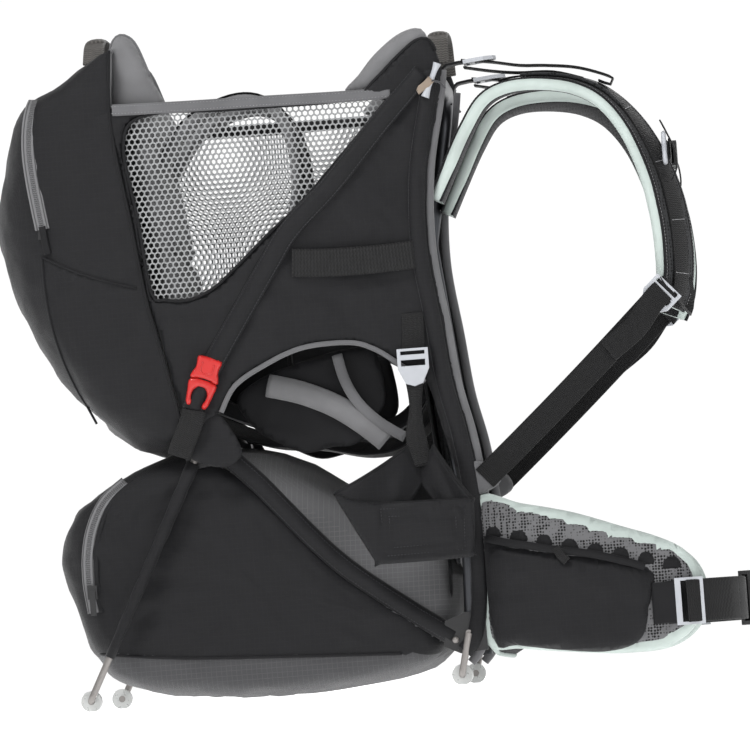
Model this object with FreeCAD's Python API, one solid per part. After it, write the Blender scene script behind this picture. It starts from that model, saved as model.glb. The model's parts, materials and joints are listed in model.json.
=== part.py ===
"""Child carrier backpack, standing on its opened kickstand.

Millimetres. +X is the way the wearer walks, +Y is the wearer's left, +Z is up.
The origin is on the floor, at the middle of the carrier's footprint.
"""
import math
import os

import FreeCAD
import Part

V = FreeCAD.Vector
X_AXIS, Y_AXIS, Z_AXIS = V(1, 0, 0), V(0, 1, 0), V(0, 0, 1)

# ---------------------------------------------------------------- driving dimensions
REACH = 377.0            # half of the whole length, from rear pod to hip buckle
FRAME_Y = 112.0          # half-width of the back frame's uprights, at tube centre
TUBE_R = 8.0             # back frame tube, 16 mm aluminium
SEAT_TUBE_R = 7.0        # seat frame tube, 14 mm aluminium
SEAT_TUBE_Y = 119.0      # half-width of the seat frame
HINGE = (-180.0, 254.0)  # kickstand hinge, X and Z
RUN = 0.08               # running clearance of the kickstand in its bushes, on the radius
KICK_FOOT = (-306.0, 10.2)   # kickstand foot centre, X and Z
FRONT_FOOT = (76.0, 10.2)    # fixed foot centre, X and Z
FOOT_R = 10.7            # foot puck radius
FLAT = 10.2              # height of the puck's centre over its worn flat
ROD_R = 3.5              # kickstand and foot rods, 7 mm steel
BUSH_R = 6.0             # kickstand bush outside radius
LEG_Y = (137.0, 146.0)   # half-spacing of the kickstand's legs, at the hinge and at the floor
POD_Y = 150.0            # half-width of the child's cockpit
FABRIC = 6.0             # padded fabric wall
WEB = 1.8                # webbing thickness


# ---------------------------------------------------------------- helpers
def save(shape, node):
    if not shape.isValid():
        print("WARNING: shape is not valid:", node)
    shape.exportStep("parts/%s.step" % node)


def both(make, node):
    """Writes NODE_right on the -Y side and NODE_left as its mirror."""
    right = make()
    save(right, node + "_right")
    save(mirrored(right), node + "_left")


def mirrored(shape):
    return shape.mirror(V(0, 0, 0), Y_AXIS)


def pair(shape):
    """The shape and its mirror, as two solids in one node."""
    return Part.makeCompound([shape, mirrored(shape)])


def wire_xz(points, y=0.0, smooth=False):
    """A closed outline in a plane of constant Y, with straight or curved sides."""
    at = [V(x, y, z) for x, z in points]
    if smooth:
        curve = Part.BSplineCurve()
        curve.interpolate(at, PeriodicFlag=True)
        return Part.Wire([curve.toShape()])
    return Part.makePolygon(at + at[:1])


def prism_xz(points, y0, y1, smooth=False):
    """The outline, drawn in XZ, made solid from y0 to y1."""
    face = Part.Face(wire_xz(points, y0, smooth))
    return face.extrude(V(0, y1 - y0, 0))


def prism_xy(points, z0, z1, smooth=False):
    """The outline, drawn in XY, made solid from z0 to z1."""
    at = [V(x, y, z0) for x, y in points]
    if smooth:
        curve = Part.BSplineCurve()
        curve.interpolate(at, PeriodicFlag=True)
        outline = Part.Wire([curve.toShape()])
    else:
        outline = Part.makePolygon(at + at[:1])
    return Part.Face(outline).extrude(V(0, 0, z1 - z0))


def box(x0, x1, y0, y1, z0, z1):
    return Part.makeBox(x1 - x0, y1 - y0, z1 - z0, V(x0, y0, z0))


def rod(start, end, radius):
    start, end = V(*start), V(*end)
    return Part.makeCylinder(radius, (end - start).Length, start, end - start)


def bent_tube(points, radius, bend):
    """A tube along straight runs joined by tangent arcs."""
    points = [V(*p) for p in points]
    edges = []
    last = points[0]
    for before, corner, after in zip(points, points[1:], points[2:]):
        back = (before - corner).normalize()
        on = (after - corner).normalize()
        half = back.getAngle(on) / 2
        cut = bend / math.tan(half)
        start, end = corner + back * cut, corner + on * cut
        middle = (back + on).normalize()
        inner = corner + middle * (bend / math.sin(half) - bend)
        edges.append(Part.LineSegment(last, start).toShape())
        edges.append(Part.Arc(start, inner, end).toShape())
        last = end
    edges.append(Part.LineSegment(last, points[-1]).toShape())
    path = Part.Wire(edges)
    ring = Part.Wire([Part.makeCircle(radius, points[0], points[1] - points[0])])
    return path.makePipeShell([ring], True, False)


def strip_outline(points, thick):
    """Both sides of a strip that follows a smooth line of 2-D points."""
    above, below = [], []
    for i, (a, b) in enumerate(points):
        a0, b0 = points[max(i - 1, 0)]
        a1, b1 = points[min(i + 1, len(points) - 1)]
        size = math.hypot(a1 - a0, b1 - b0)
        na, nb = -(b1 - b0) / size * thick / 2, (a1 - a0) / size * thick / 2
        above.append((a + na, b + nb))
        below.append((a - na, b - nb))
    return above, below


def strip_face(points, thick, place):
    """A flat face: two smooth sides and two straight ends. place turns 2-D into 3-D."""
    above, below = strip_outline(points, thick)
    sides = []
    for side in (above, below):
        curve = Part.BSplineCurve()
        curve.interpolate([place(a, b) for a, b in side])
        sides.append(curve.toShape())
    ends = [
        Part.LineSegment(place(*above[k]), place(*below[k])).toShape() for k in (0, -1)
    ]
    return Part.Face(Part.Wire(Part.__sortEdges__(sides + ends)))


def band_xz(points, thick, y0, y1):
    """A band whose edge is seen in XZ and whose width runs along Y."""
    face = strip_face(points, thick, lambda x, z: V(x, y0, z))
    return face.extrude(V(0, y1 - y0, 0))


def band_xy(points, thick, z0, z1):
    """A band whose edge is seen in XY and whose width runs along Z."""
    face = strip_face(points, thick, lambda x, y: V(x, y, z0))
    return face.extrude(V(0, 0, z1 - z0))


def flat_ribbon(start, end, width, y, thick=WEB):
    """Straight webbing with its face towards Y, from start to end in XZ."""
    (x0, z0), (x1, z1) = start, end
    long = math.hypot(x1 - x0, z1 - z0)
    nx, nz = -(z1 - z0) / long * width / 2, (x1 - x0) / long * width / 2
    outline = [(x0 + nx, z0 + nz), (x1 + nx, z1 + nz), (x1 - nx, z1 - nz), (x0 - nx, z0 - nz)]
    return prism_xz(outline, y - thick / 2, y + thick / 2)


def placed(shape, origin, along, normal):
    """Moves a shape drawn along +X with its face to +Z, so that +X points along and +Z to normal."""
    x = V(*along).normalize()
    z = V(*normal)
    z = (z - x * z.dot(x)).normalize()
    y = z.cross(x)
    m = FreeCAD.Matrix(x.x, y.x, z.x, origin[0], x.y, y.y, z.y, origin[1],
                       x.z, y.z, z.z, origin[2], 0, 0, 0, 1)
    out = shape.copy()
    out.transformShape(m, True)
    return out


# ---------------------------------------------------------------- frame
BACK_LINE = [(88, 30), (93, 170), (62, 470), (92, 628)]   # the uprights, X and Z
TOP_BEND = 45.0


def back_frame(radius=TUBE_R):
    """An inverted U: both uprights and the top bar, bent from one tube."""
    side = [(x, -FRAME_Y, z) for x, z in BACK_LINE]
    other = [(x, FRAME_Y, z) for x, z in reversed(BACK_LINE)]
    return bent_tube(side + other, radius, TOP_BEND)


def frame_crossbars():
    """Two bars notched against the uprights."""
    reach = FRAME_Y - TUBE_R - 0.5
    bars = [(90.2, 92.0), (69.7, 396.0)]
    return Part.makeCompound([rod((x, -reach, z), (x, reach, z), 6.0) for x, z in bars])


def seat_frame():
    """The U-shaped tube that carries the seat, from one bracket round to the other."""
    side = [(66, 55), (21, 84), (-47, 139), (-136, 243), (-158, 262)]
    right = [(x, -SEAT_TUBE_Y, z) for x, z in side]
    left = [(x, SEAT_TUBE_Y, z) for x, z in reversed(side)]
    return bent_tube(right + left, SEAT_TUBE_R, 18)


def hinge_block():
    """The moulding on the seat frame's corner that holds the kickstand's bush."""
    outline = [(-193, 254), (-188, 264), (-162, 276), (-146, 272), (-143, 252), (-160, 244),
               (-180, 241), (-190, 245)]
    hx, hz = HINGE
    bore = rod((hx, -132, hz), (hx, -106, hz), BUSH_R)
    return prism_xz(outline, -131, -107).cut(seat_frame()).cut(bore)


def hinge_bush():
    """A flangeless plastic sleeve between the block and the kickstand's rod."""
    hx, hz = HINGE
    outer = rod((hx, -131, hz), (hx, -107, hz), BUSH_R)
    return outer.cut(rod((hx, -132, hz), (hx, -106, hz), ROD_R + RUN))


def frame_bracket():
    """The moulding that joins the seat frame's end to the foot of the upright."""
    block = prism_xz([(60, 40), (62, 66), (84, 74), (104, 70), (104, 34), (76, 32)], -130, -103)
    socket = rod((66, -SEAT_TUBE_Y, 55), (21, -SEAT_TUBE_Y, 84), SEAT_TUBE_R)
    return block.cut(socket).cut(back_frame())


def front_foot_rod():
    """A short bent rod from the bracket into the fixed foot."""
    fx, fz = FRONT_FOOT
    path = [(86, -134, 52), (fx, -134, fz), (fx, -116, fz)]
    pin = rod((86, -130, 52), (86, -134, 52), ROD_R)
    return bent_tube(path, ROD_R, 5).fuse(pin).removeSplitter()


def puck(x, z, y0, y1):
    """A round foot on a rod's end, with a small flat underneath."""
    body = Part.makeCylinder(FOOT_R, y1 - y0, V(x, y0, z), Y_AXIS)
    below = box(x - 20, x + 20, y0 - 1, y1 + 1, z - 40, z - FLAT)
    hole = Part.makeCylinder(ROD_R, y1 - y0 + 2, V(x, y0 - 1, z), Y_AXIS)
    return body.cut(below).cut(hole)


def front_foot():
    fx, fz = FRONT_FOOT
    return puck(fx, fz, -128.5, -116.0)


def kickstand_rod():
    """The kickstand: one rod, bent into both legs, the axle between them and both foot stubs."""
    hx, hz = HINGE
    fx, fz = KICK_FOOT
    top, foot = LEG_Y
    right = [(fx, -129.5, fz), (fx, -foot, fz), (hx, -top, hz)]
    left = [(x, -y, z) for x, y, z in reversed(right)]
    return bent_tube(right + left, ROD_R, 6)


def kickstand_foot():
    fx, fz = KICK_FOOT
    return puck(fx, fz, -139.8, -129.0)


# ---------------------------------------------------------------- child's cockpit
POD_REAR = [(-250, 691), (-292, 671), (-346, 641), (-366, 600), (-REACH, 545), (-373, 489),
            (-357, 414), (-329, 357), (-290, 303), (-246, 272)]
POD_SEAM = [(-190, 279), (-196, 320), (-205, 372), (-215, 425), (-225, 503), (-235, 571),
            (-238, 618), (-232, 694)]


def rear_pod():
    """The padded rear wall with its zipped pocket, narrower towards the rear."""
    side = prism_xz(POD_REAR + POD_SEAM, -POD_Y, POD_Y)
    plan = [(-170, POD_Y), (-258, POD_Y), (-316, 141), (-354, 118), (-REACH, 70),
            (-REACH, -70), (-354, -118), (-316, -141), (-258, -POD_Y), (-170, -POD_Y)]
    return side.common(prism_xy(plan, 200, 720))


def wall_slab(inset, thick):
    """The upright sheet that a side wall lies in: straight by the pod, then in towards the back frame."""
    outer = POD_Y - inset
    inner = outer - thick
    taper = 24
    plan = [(-237, -outer), (-90, -outer), (116, -outer + taper), (116, -inner + taper),
            (-90, -inner), (-237, -inner)]
    return prism_xy(plan, 0, 720)


WINDOW = [(-204, 612), (46, 606), (-52, 489), (-100, 448), (-136, 426), (-176, 418),
          (-212, 426), (-222, 508), (-231, 588)]
WALL = [(-237, 626), (47, 618), (88, 634), (103, 625), (100, 600), (81, 529), (79, 451),
        (88, 372), (93, 310), (104, 258), (110, 205), (112, 154), (111, 92), (108, 76),
        (90, 78), (95, 154), (90, 196), (73, 269), (62, 318), (33, 334), (10, 352), (-15, 361),
        (-62, 358), (-102, 342), (-134, 326), (-150, 296), (-184, 281), (-192, 320),
        (-201, 372), (-211, 425), (-221, 503), (-231, 571), (-234, 610)]


def cockpit_wall():
    """One side of the cockpit, with the window's hole and the leg arch cut away."""
    hole = prism_xz(WINDOW, -200, -100)
    return prism_xz(WALL, -200, -100).common(wall_slab(0, FABRIC)).cut(hole)


def mesh_window():
    return prism_xz(WINDOW, -200, -100).common(wall_slab(2, 2))


def seat_saddle():
    """The strip that the child sits astride, from the rear wall to the back panel."""
    line = [(-182, 312), (-160, 292), (-110, 274), (-60, 268), (-10, 256), (30, 262), (54, 286)]
    return band_xz(line, 8, -52, 52)


def child_backrest():
    """The pad in front of the rear wall."""
    outline = [(-186, 318), (-194, 372), (-204, 425), (-214, 503), (-224, 571), (-228, 640),
               (-208, 640), (-204, 571), (-194, 503), (-184, 425), (-174, 372), (-168, 330)]
    return prism_xz(outline, -118, 118)


def headrest_wing():
    """One side of the child's headrest, standing up over the rim."""
    outline = [(-230, 629), (-228, 676), (-218, 699), (-206, 692), (-196, 666), (-184, 629)]
    return prism_xz(outline, -146, -126)


def front_collar():
    """The padded collar between the child's face and the wearer's neck."""
    outline = [(4, 623), (26, 649), (48, 671), (69, 676), (80, 671), (84, 655), (78, 640), (46, 622)]
    cheek = prism_xz(outline, -134, -112)
    front = prism_xz([(50, 640), (62, 670), (72, 671), (80, 664), (80, 646), (60, 632)], -112, 112)
    return cheek.fuse(front).fuse(mirrored(cheek)).removeSplitter()


def harness_strap():
    """One padded shoulder strap of the child's harness."""
    line = [(-198, 590), (-166, 622), (-128, 638), (-92, 636), (-62, 610), (-50, 566), (-58, 514),
            (-84, 470)]
    return band_xz(line, 5, -72, -42)


def harness_buckle():
    """The buckle and its crotch strap, rising from the saddle."""
    buckle = box(-104, -64, -26, 26, 438, 462)
    strap = band_xz([(-84, 438), (-88, 390), (-86, 330), (-80, 277)], 3, -14, 14)
    return buckle.fuse(strap).removeSplitter()


# ---------------------------------------------------------------- storage
def storage_bag():
    """The zipped compartment under the seat. Its grey top rises to a ridge along the middle."""
    side = [(-185, 236), (-150, 226), (-116, 200), (-54, 122), (14, 68), (58, 40), (52, 24), (5, 14),
            (-59, 8), (-133, 5), (-191, 8), (-248, 18), (-286, 34), (-304, 60), (-314, 90),
            (-325, 135), (-327, 165), (-321, 196), (-303, 226), (-240, 240)]
    middle = [(-185, 238), (-150, 254), (-100, 251), (-22, 212), (40, 182), (72, 162), (74, 60),
              (40, 18), (-59, 2), (-133, 1), (-191, 3), (-248, 13), (-290, 32), (-309, 60),
              (-319, 90), (-331, 135), (-334, 165), (-328, 196), (-310, 228), (-240, 240)]
    flank = 110.0
    sections = [wire_xz(side, -flank), wire_xz(middle, -60.0), wire_xz(middle, 60.0),
                wire_xz(side, flank)]
    core = Part.makeLoft(sections, True, True)
    panel = prism_xz(side, -126, -flank)
    return core.fuse(panel).fuse(mirrored(panel)).removeSplitter()


def pocket_zip_tape():
    """Both tapes and the teeth of the rear pocket's zip, on the right side."""
    return band_xz([(-322, 634), (-328, 600), (-328, 560), (-322, 500)], 16, -144, -141.6)


def storage_zip_tape():
    """Both tapes and the teeth of the storage compartment's zip, on the right side."""
    return band_xz([(-278, 238), (-292, 204), (-299, 160), (-298, 108)], 16, -128.6, -126.2)


def zip_slider(x, z, y):
    """A zip slider's body and its pull tab."""
    body = box(x - 5, x + 5, y - 3.4, y, z - 7, z + 7)
    tab = box(x - 3, x + 3, y - 5.0, y - 3.4, z - 24, z + 2)
    return body.fuse(tab).removeSplitter()


# ---------------------------------------------------------------- wearer's side
def back_panel():
    """The wearer's back pad, hung between the uprights."""
    outline = [(82, 120), (80, 180), (66, 330), (56, 440), (60, 500), (76, 580), (86, 614), (108, 610),
               (94, 540), (90, 470), (100, 380), (108, 290), (118, 210), (118, 120)]
    pad = prism_xz(outline, -99, 99)
    bar_room = rod((69.7, -120, 396), (69.7, 120, 396), 7)
    return pad.cut(bar_room).cut(back_frame(TUBE_R + 0.5))


def lumbar_pad():
    """The lumbar cushion that the hip wings grow from."""
    return prism_xy([(100, -99), (132, -88), (140, -40), (142, 0), (140, 40), (132, 88), (100, 99),
                     (100, 60), (100, -60)], 22, 118)


def hip_wing():
    """A foam wing of the hip belt, curved round the wearer's hip."""
    line = [(118, -128), (150, -143), (200, -151), (250, -152), (296, -148), (326, -141)]
    side = [(101, 192), (151, 180), (202, 167), (251, 149), (286, 136), (311, 123), (324, 104),
            (328, 80), (324, 54), (309, 33), (282, 22), (242, 21), (191, 25), (140, 32), (101, 40)]
    wing = band_xy(line, 14, 15, 200)
    return wing.common(prism_xz(side, -180, -100))


def belt_webbing():
    """The belt webbing from the wing's slider round to the middle."""
    line = [(330, -150.6), (346, -147), (362, -132), (370, -112), (371, -92), (371, -66), (371, -45)]
    return band_xy(line, WEB, 46, 90)


def belt_slider():
    """The white slider at the wing's tip."""
    plate = box(300, 329, -165, -161.5, 44, 92)
    slots = [box(306, 312, -166, -160, 47, 89), box(317, 323, -166, -160, 47, 89)]
    return plate.cut(slots[0]).cut(slots[1])


HIP_X0, HIP_X1 = REACH - 13, REACH


def hip_socket():
    """The female half of the hip buckle. Its mouth faces the wearer's right."""
    body = box(HIP_X0, HIP_X1, -6, 44, 40, 96)
    mouth = box(HIP_X0 + 3, HIP_X1 - 3, -10, 30, 44, 92)
    slot = box(HIP_X0 - 1, HIP_X0 + 9, 36, 40, 45, 91)
    return body.cut(mouth).cut(slot)


def hip_plug():
    """The male half: a bar for the webbing and two prongs."""
    bar = box(HIP_X0, HIP_X1, -56, -6.5, 40, 96)
    web = box(HIP_X0 + 3.6, HIP_X0 + 9.4, -57, -14, 44, 92)
    prongs = [box(HIP_X0 + 3.4, HIP_X1 - 3.4, -7, 20, z, z + 9) for z in (44.5, 82.5)]
    return bar.cut(web).fuse(prongs[0]).fuse(prongs[1]).removeSplitter()


STRAP_LINE = [(100, 503), (114, 549), (142, 592), (190, 618), (232, 619), (266, 602), (296, 560),
              (318, 500), (326, 440), (320, 398)]
STRAP_Y = (-126.0, -68.0)


def shoulder_strap():
    """A foam shoulder strap, arched forward from the back panel."""
    return band_xz(STRAP_LINE, 14, *STRAP_Y)


LOCK_AT = (311.0, -134.5, 386.0)       # the shoulder ladder lock's bar
WEB_END = (113.0, 209.0)               # where its webbing is sewn to the back panel's foot
WEB_Y = -131.2                         # its plane, just inside the ladder lock


def web_direction():
    lx, _, lz = LOCK_AT
    return V(WEB_END[0] - lx, 0, WEB_END[1] - lz).normalize()


def shoulder_webbing():
    """The lower webbing, from the ladder lock down to the frame."""
    d = web_direction()
    lx, _, lz = LOCK_AT
    return flat_ribbon((lx + d.x * 4, lz + d.z * 4), WEB_END, 25, WEB_Y)


def ladder_lock(width, long=34.0, thick=4.0):
    """A ladder lock drawn along +X, hinged on the bar at its origin, its thumb tab at +X."""
    w = width / 2
    outline = [V(-9, -w, 0), V(-9, w, 0), V(12, w, 0), V(long - 12, w * 0.55, 0), V(long - 9, 0, 0),
               V(long - 12, -w * 0.55, 0), V(12, -w, 0)]
    body = Part.Face(Part.makePolygon(outline + outline[:1])).extrude(V(0, 0, thick))
    body.translate(V(0, 0, -thick / 2))
    for x0, x1 in ((-6.5, -2.6), (2.6, 9)):
        body = body.cut(box(x0, x1, -w + 3.5, w - 3.5, -thick, thick))
    return body


def shoulder_lock():
    d = web_direction()
    return placed(ladder_lock(34), LOCK_AT, d, (0, -1, 0))


LIFT_LOCK = (131.0, -97.0, 641.0)


def lifter_lock():
    return placed(ladder_lock(30), LIFT_LOCK, (1, 0, 0.1), (-0.1, 0, 1))


def load_lifter_webbing():
    """The load lifter, from the frame's top bar to the shoulder strap."""
    line = [(150, 636), (176, 638), (204, 638), (232, 636), (250, 631)]
    lifter = band_xz(line, WEB, -107, -87)
    anchor = band_xz([(101, 636), (110, 638), (120, 640)], WEB, -107, -87)
    return Part.makeCompound([lifter, anchor])


STERNUM = (329.0, 535.0)    # where the sternum strap rides, X and Z


def sternum_strap():
    """The chest strap with a slider on each shoulder strap and the female buckle half."""
    x, z = STERNUM
    web = box(x - WEB / 2, x + WEB / 2, -112, -31, z - 10, z + 10)
    web_left = box(x - WEB / 2, x + WEB / 2, 22, 112, z - 10, z + 10)
    socket = box(x - 5, x + 5, -3, 22, z - 13, z + 13).cut(box(x - 3, x + 3, -5, 16, z - 10, z + 10))
    ends = [box(x - 9, x + 4, y, y + 16, z - 14, z + 14) for y in (-116, 100)]
    return Part.makeCompound([web.fuse(ends[0]).removeSplitter(),
                              web_left.fuse(ends[1]).fuse(socket).removeSplitter()])


def sternum_plug():
    """The male half of the chest buckle, which slides on its webbing."""
    x, z = STERNUM
    body = box(x - 5, x + 5, -40, -3.6, z - 13, z + 13)
    web = box(x - 1.4, x + 1.4, -41, -12, z - 10.5, z + 10.5)
    prongs = [box(x - 2.6, x + 2.6, -4, 13, z + k, z + k + 4) for k in (-9.6, 5.6)]
    return body.cut(web).fuse(prongs[0]).fuse(prongs[1]).removeSplitter()


# ---------------------------------------------------------------- straps and trim on the sides
BUCKLE_AT = (-165.0, -155.2, 330.0)   # mouth of the red buckle's female half
BUCKLE_DIR = (0.36, 0.0, 0.93)        # from the plug's webbing up towards the female half


def buckle_socket():
    """The red female half, sewn to the cockpit's lower corner."""
    body = box(0, 24, -14, 14, -4, 4)
    mouth = box(-1, 20, -11, 11, -2.4, 2.4)
    windows = [box(8, 18, s * 15 - 4, s * 15 + 4, -5, 5) for s in (-1, 1)]
    return placed(body.cut(mouth).cut(windows[0]).cut(windows[1]), BUCKLE_AT, BUCKLE_DIR, (0, -1, 0))


def buckle_plug():
    """The red male half with its webbing tail."""
    body = box(-24, -0.5, -14, 14, -4, 4)
    arch = box(-25, -6, -9, 9, -5, 5)
    prongs = [box(-1, 17, s * 8.5 - 2, s * 8.5 + 2, -2, 2) for s in (-1, 1)]
    tail = box(-50, -19, -10, 10, -WEB / 2, WEB / 2)
    bar = box(-22, -19, -10, 10, -2, 2)
    shape = body.cut(arch).fuse(prongs[0]).fuse(prongs[1]).fuse(bar).fuse(tail)
    return placed(shape.removeSplitter(), BUCKLE_AT, BUCKLE_DIR, (0, -1, 0))


def grab_webbing():
    """A webbing handle sewn across the side wall, bowed out a little."""
    line = [(-66, -150.2), (-50, -153), (0, -150), (50, -144), (64, -136.6)]
    return band_xy(line, WEB, 429, 458)


STIRRUP_PIVOT = (50.0, -139.4, 329.0)   # the fold of its strap over the slider's bar


def stirrup():
    """A hanging foot loop: a strap, two branches and the padded band under the foot."""
    px, py, pz = STIRRUP_PIVOT
    out = py - 34
    strap = box(px - 11, px + 11, py - 1, py + 1, 228, pz)
    band = prism_xz([(-38, 212), (103, 196), (96, 138), (-22, 142)], out - 4, out + 2)

    def branch(edge, crown):
        """A sheet from an end of the band up to the foot of the strap."""
        wires = []
        for (a, b), y in ((edge, out), (crown, py)):
            at = [V(a[0], y - 1, a[1]), V(b[0], y - 1, b[1]), V(b[0], y + 1.5, b[1]),
                  V(a[0], y + 1.5, a[1])]
            wires.append(Part.makePolygon(at + at[:1]))
        return Part.makeLoft(wires, True, True)

    rear = branch(((-38, 211), (-30, 176)), ((40, 238), (48, 227)))
    front = branch(((102, 195), (99, 165)), ((61, 238), (52, 227)))
    return strap.fuse(band).fuse(rear).fuse(front).removeSplitter()


def stirrup_slider():
    """The white ladder lock that the stirrup hangs from."""
    px, py, pz = STIRRUP_PIVOT
    return placed(ladder_lock(32, 39), (px, py - 3.6, pz + 9), (0, 0, -1), (0, -1, 0))


def top_handle(x, z):
    """A webbing grab handle: a low arch across the top, 24 mm wide along X."""
    line = [(-62, 0), (-50, 20), (-26, 29), (0, 31), (26, 29), (50, 20), (62, 0)]
    return strip_face(line, 3.0, lambda y, h: V(x, y, z + h)).extrude(V(24, 0, 0))


def cover_toggle():
    """A white toggle for the weather cover, near the frame's top."""
    return rod((83, -137.4, 608), (95, -137.4, 634), 3.6)


def main():
    os.makedirs("parts", exist_ok=True)
    save(back_frame(), "back_frame")
    save(frame_crossbars(), "frame_crossbars")
    save(seat_frame(), "seat_frame")
    save(pair(hinge_block()), "hinge_blocks")
    save(pair(hinge_bush()), "hinge_bushes")
    save(pair(frame_bracket()), "frame_brackets")
    save(pair(front_foot_rod()), "front_foot_rods")
    save(pair(front_foot()), "front_feet")
    save(kickstand_rod(), "kickstand_rod")
    save(pair(kickstand_foot()), "kickstand_feet")
    save(rear_pod(), "rear_pod")
    both(cockpit_wall, "cockpit_wall")
    both(mesh_window, "mesh_window")
    save(seat_saddle(), "seat_saddle")
    save(child_backrest(), "child_backrest")
    save(pair(headrest_wing()), "headrest_wings")
    save(front_collar(), "front_collar")
    save(pair(harness_strap()), "harness_straps")
    save(harness_buckle(), "harness_buckle")
    save(storage_bag(), "storage_bag")
    save(pocket_zip_tape(), "pocket_zip_tape")
    save(storage_zip_tape(), "storage_zip_tape")
    save(zip_slider(-323, 512, -144.4), "pocket_zip_slider")
    save(zip_slider(-298, 122, -129.0), "storage_zip_slider")
    save(back_panel(), "back_panel")
    save(lumbar_pad(), "lumbar_pad")
    both(hip_wing, "hip_wing")
    both(belt_webbing, "belt_webbing")
    save(pair(belt_slider()), "belt_sliders")
    save(hip_socket(), "hip_buckle_socket")
    save(hip_plug(), "hip_buckle_plug")
    both(shoulder_strap, "shoulder_strap")
    both(shoulder_webbing, "shoulder_webbing")
    both(shoulder_lock, "shoulder_ladder_lock")
    both(lifter_lock, "lifter_ladder_lock")
    save(Part.makeCompound([load_lifter_webbing(), mirrored(load_lifter_webbing())]),
         "load_lifter_webbing")
    save(sternum_strap(), "sternum_strap")
    save(sternum_plug(), "sternum_buckle_plug")
    save(pair(buckle_socket()), "red_buckle_sockets")
    both(buckle_plug, "red_buckle_plug")
    save(pair(grab_webbing()), "side_grab_webbing")
    both(stirrup, "stirrup")
    both(stirrup_slider, "stirrup_slider")
    save(top_handle(82, 650), "front_handle")
    save(top_handle(-278, 671).cut(rear_pod()), "rear_handle")
    save(pair(cover_toggle()), "cover_toggles")


main()
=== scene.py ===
"""A child carrier backpack on its open kickstand: soft goods, trim, materials, light and camera."""
import json
import math

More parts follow.
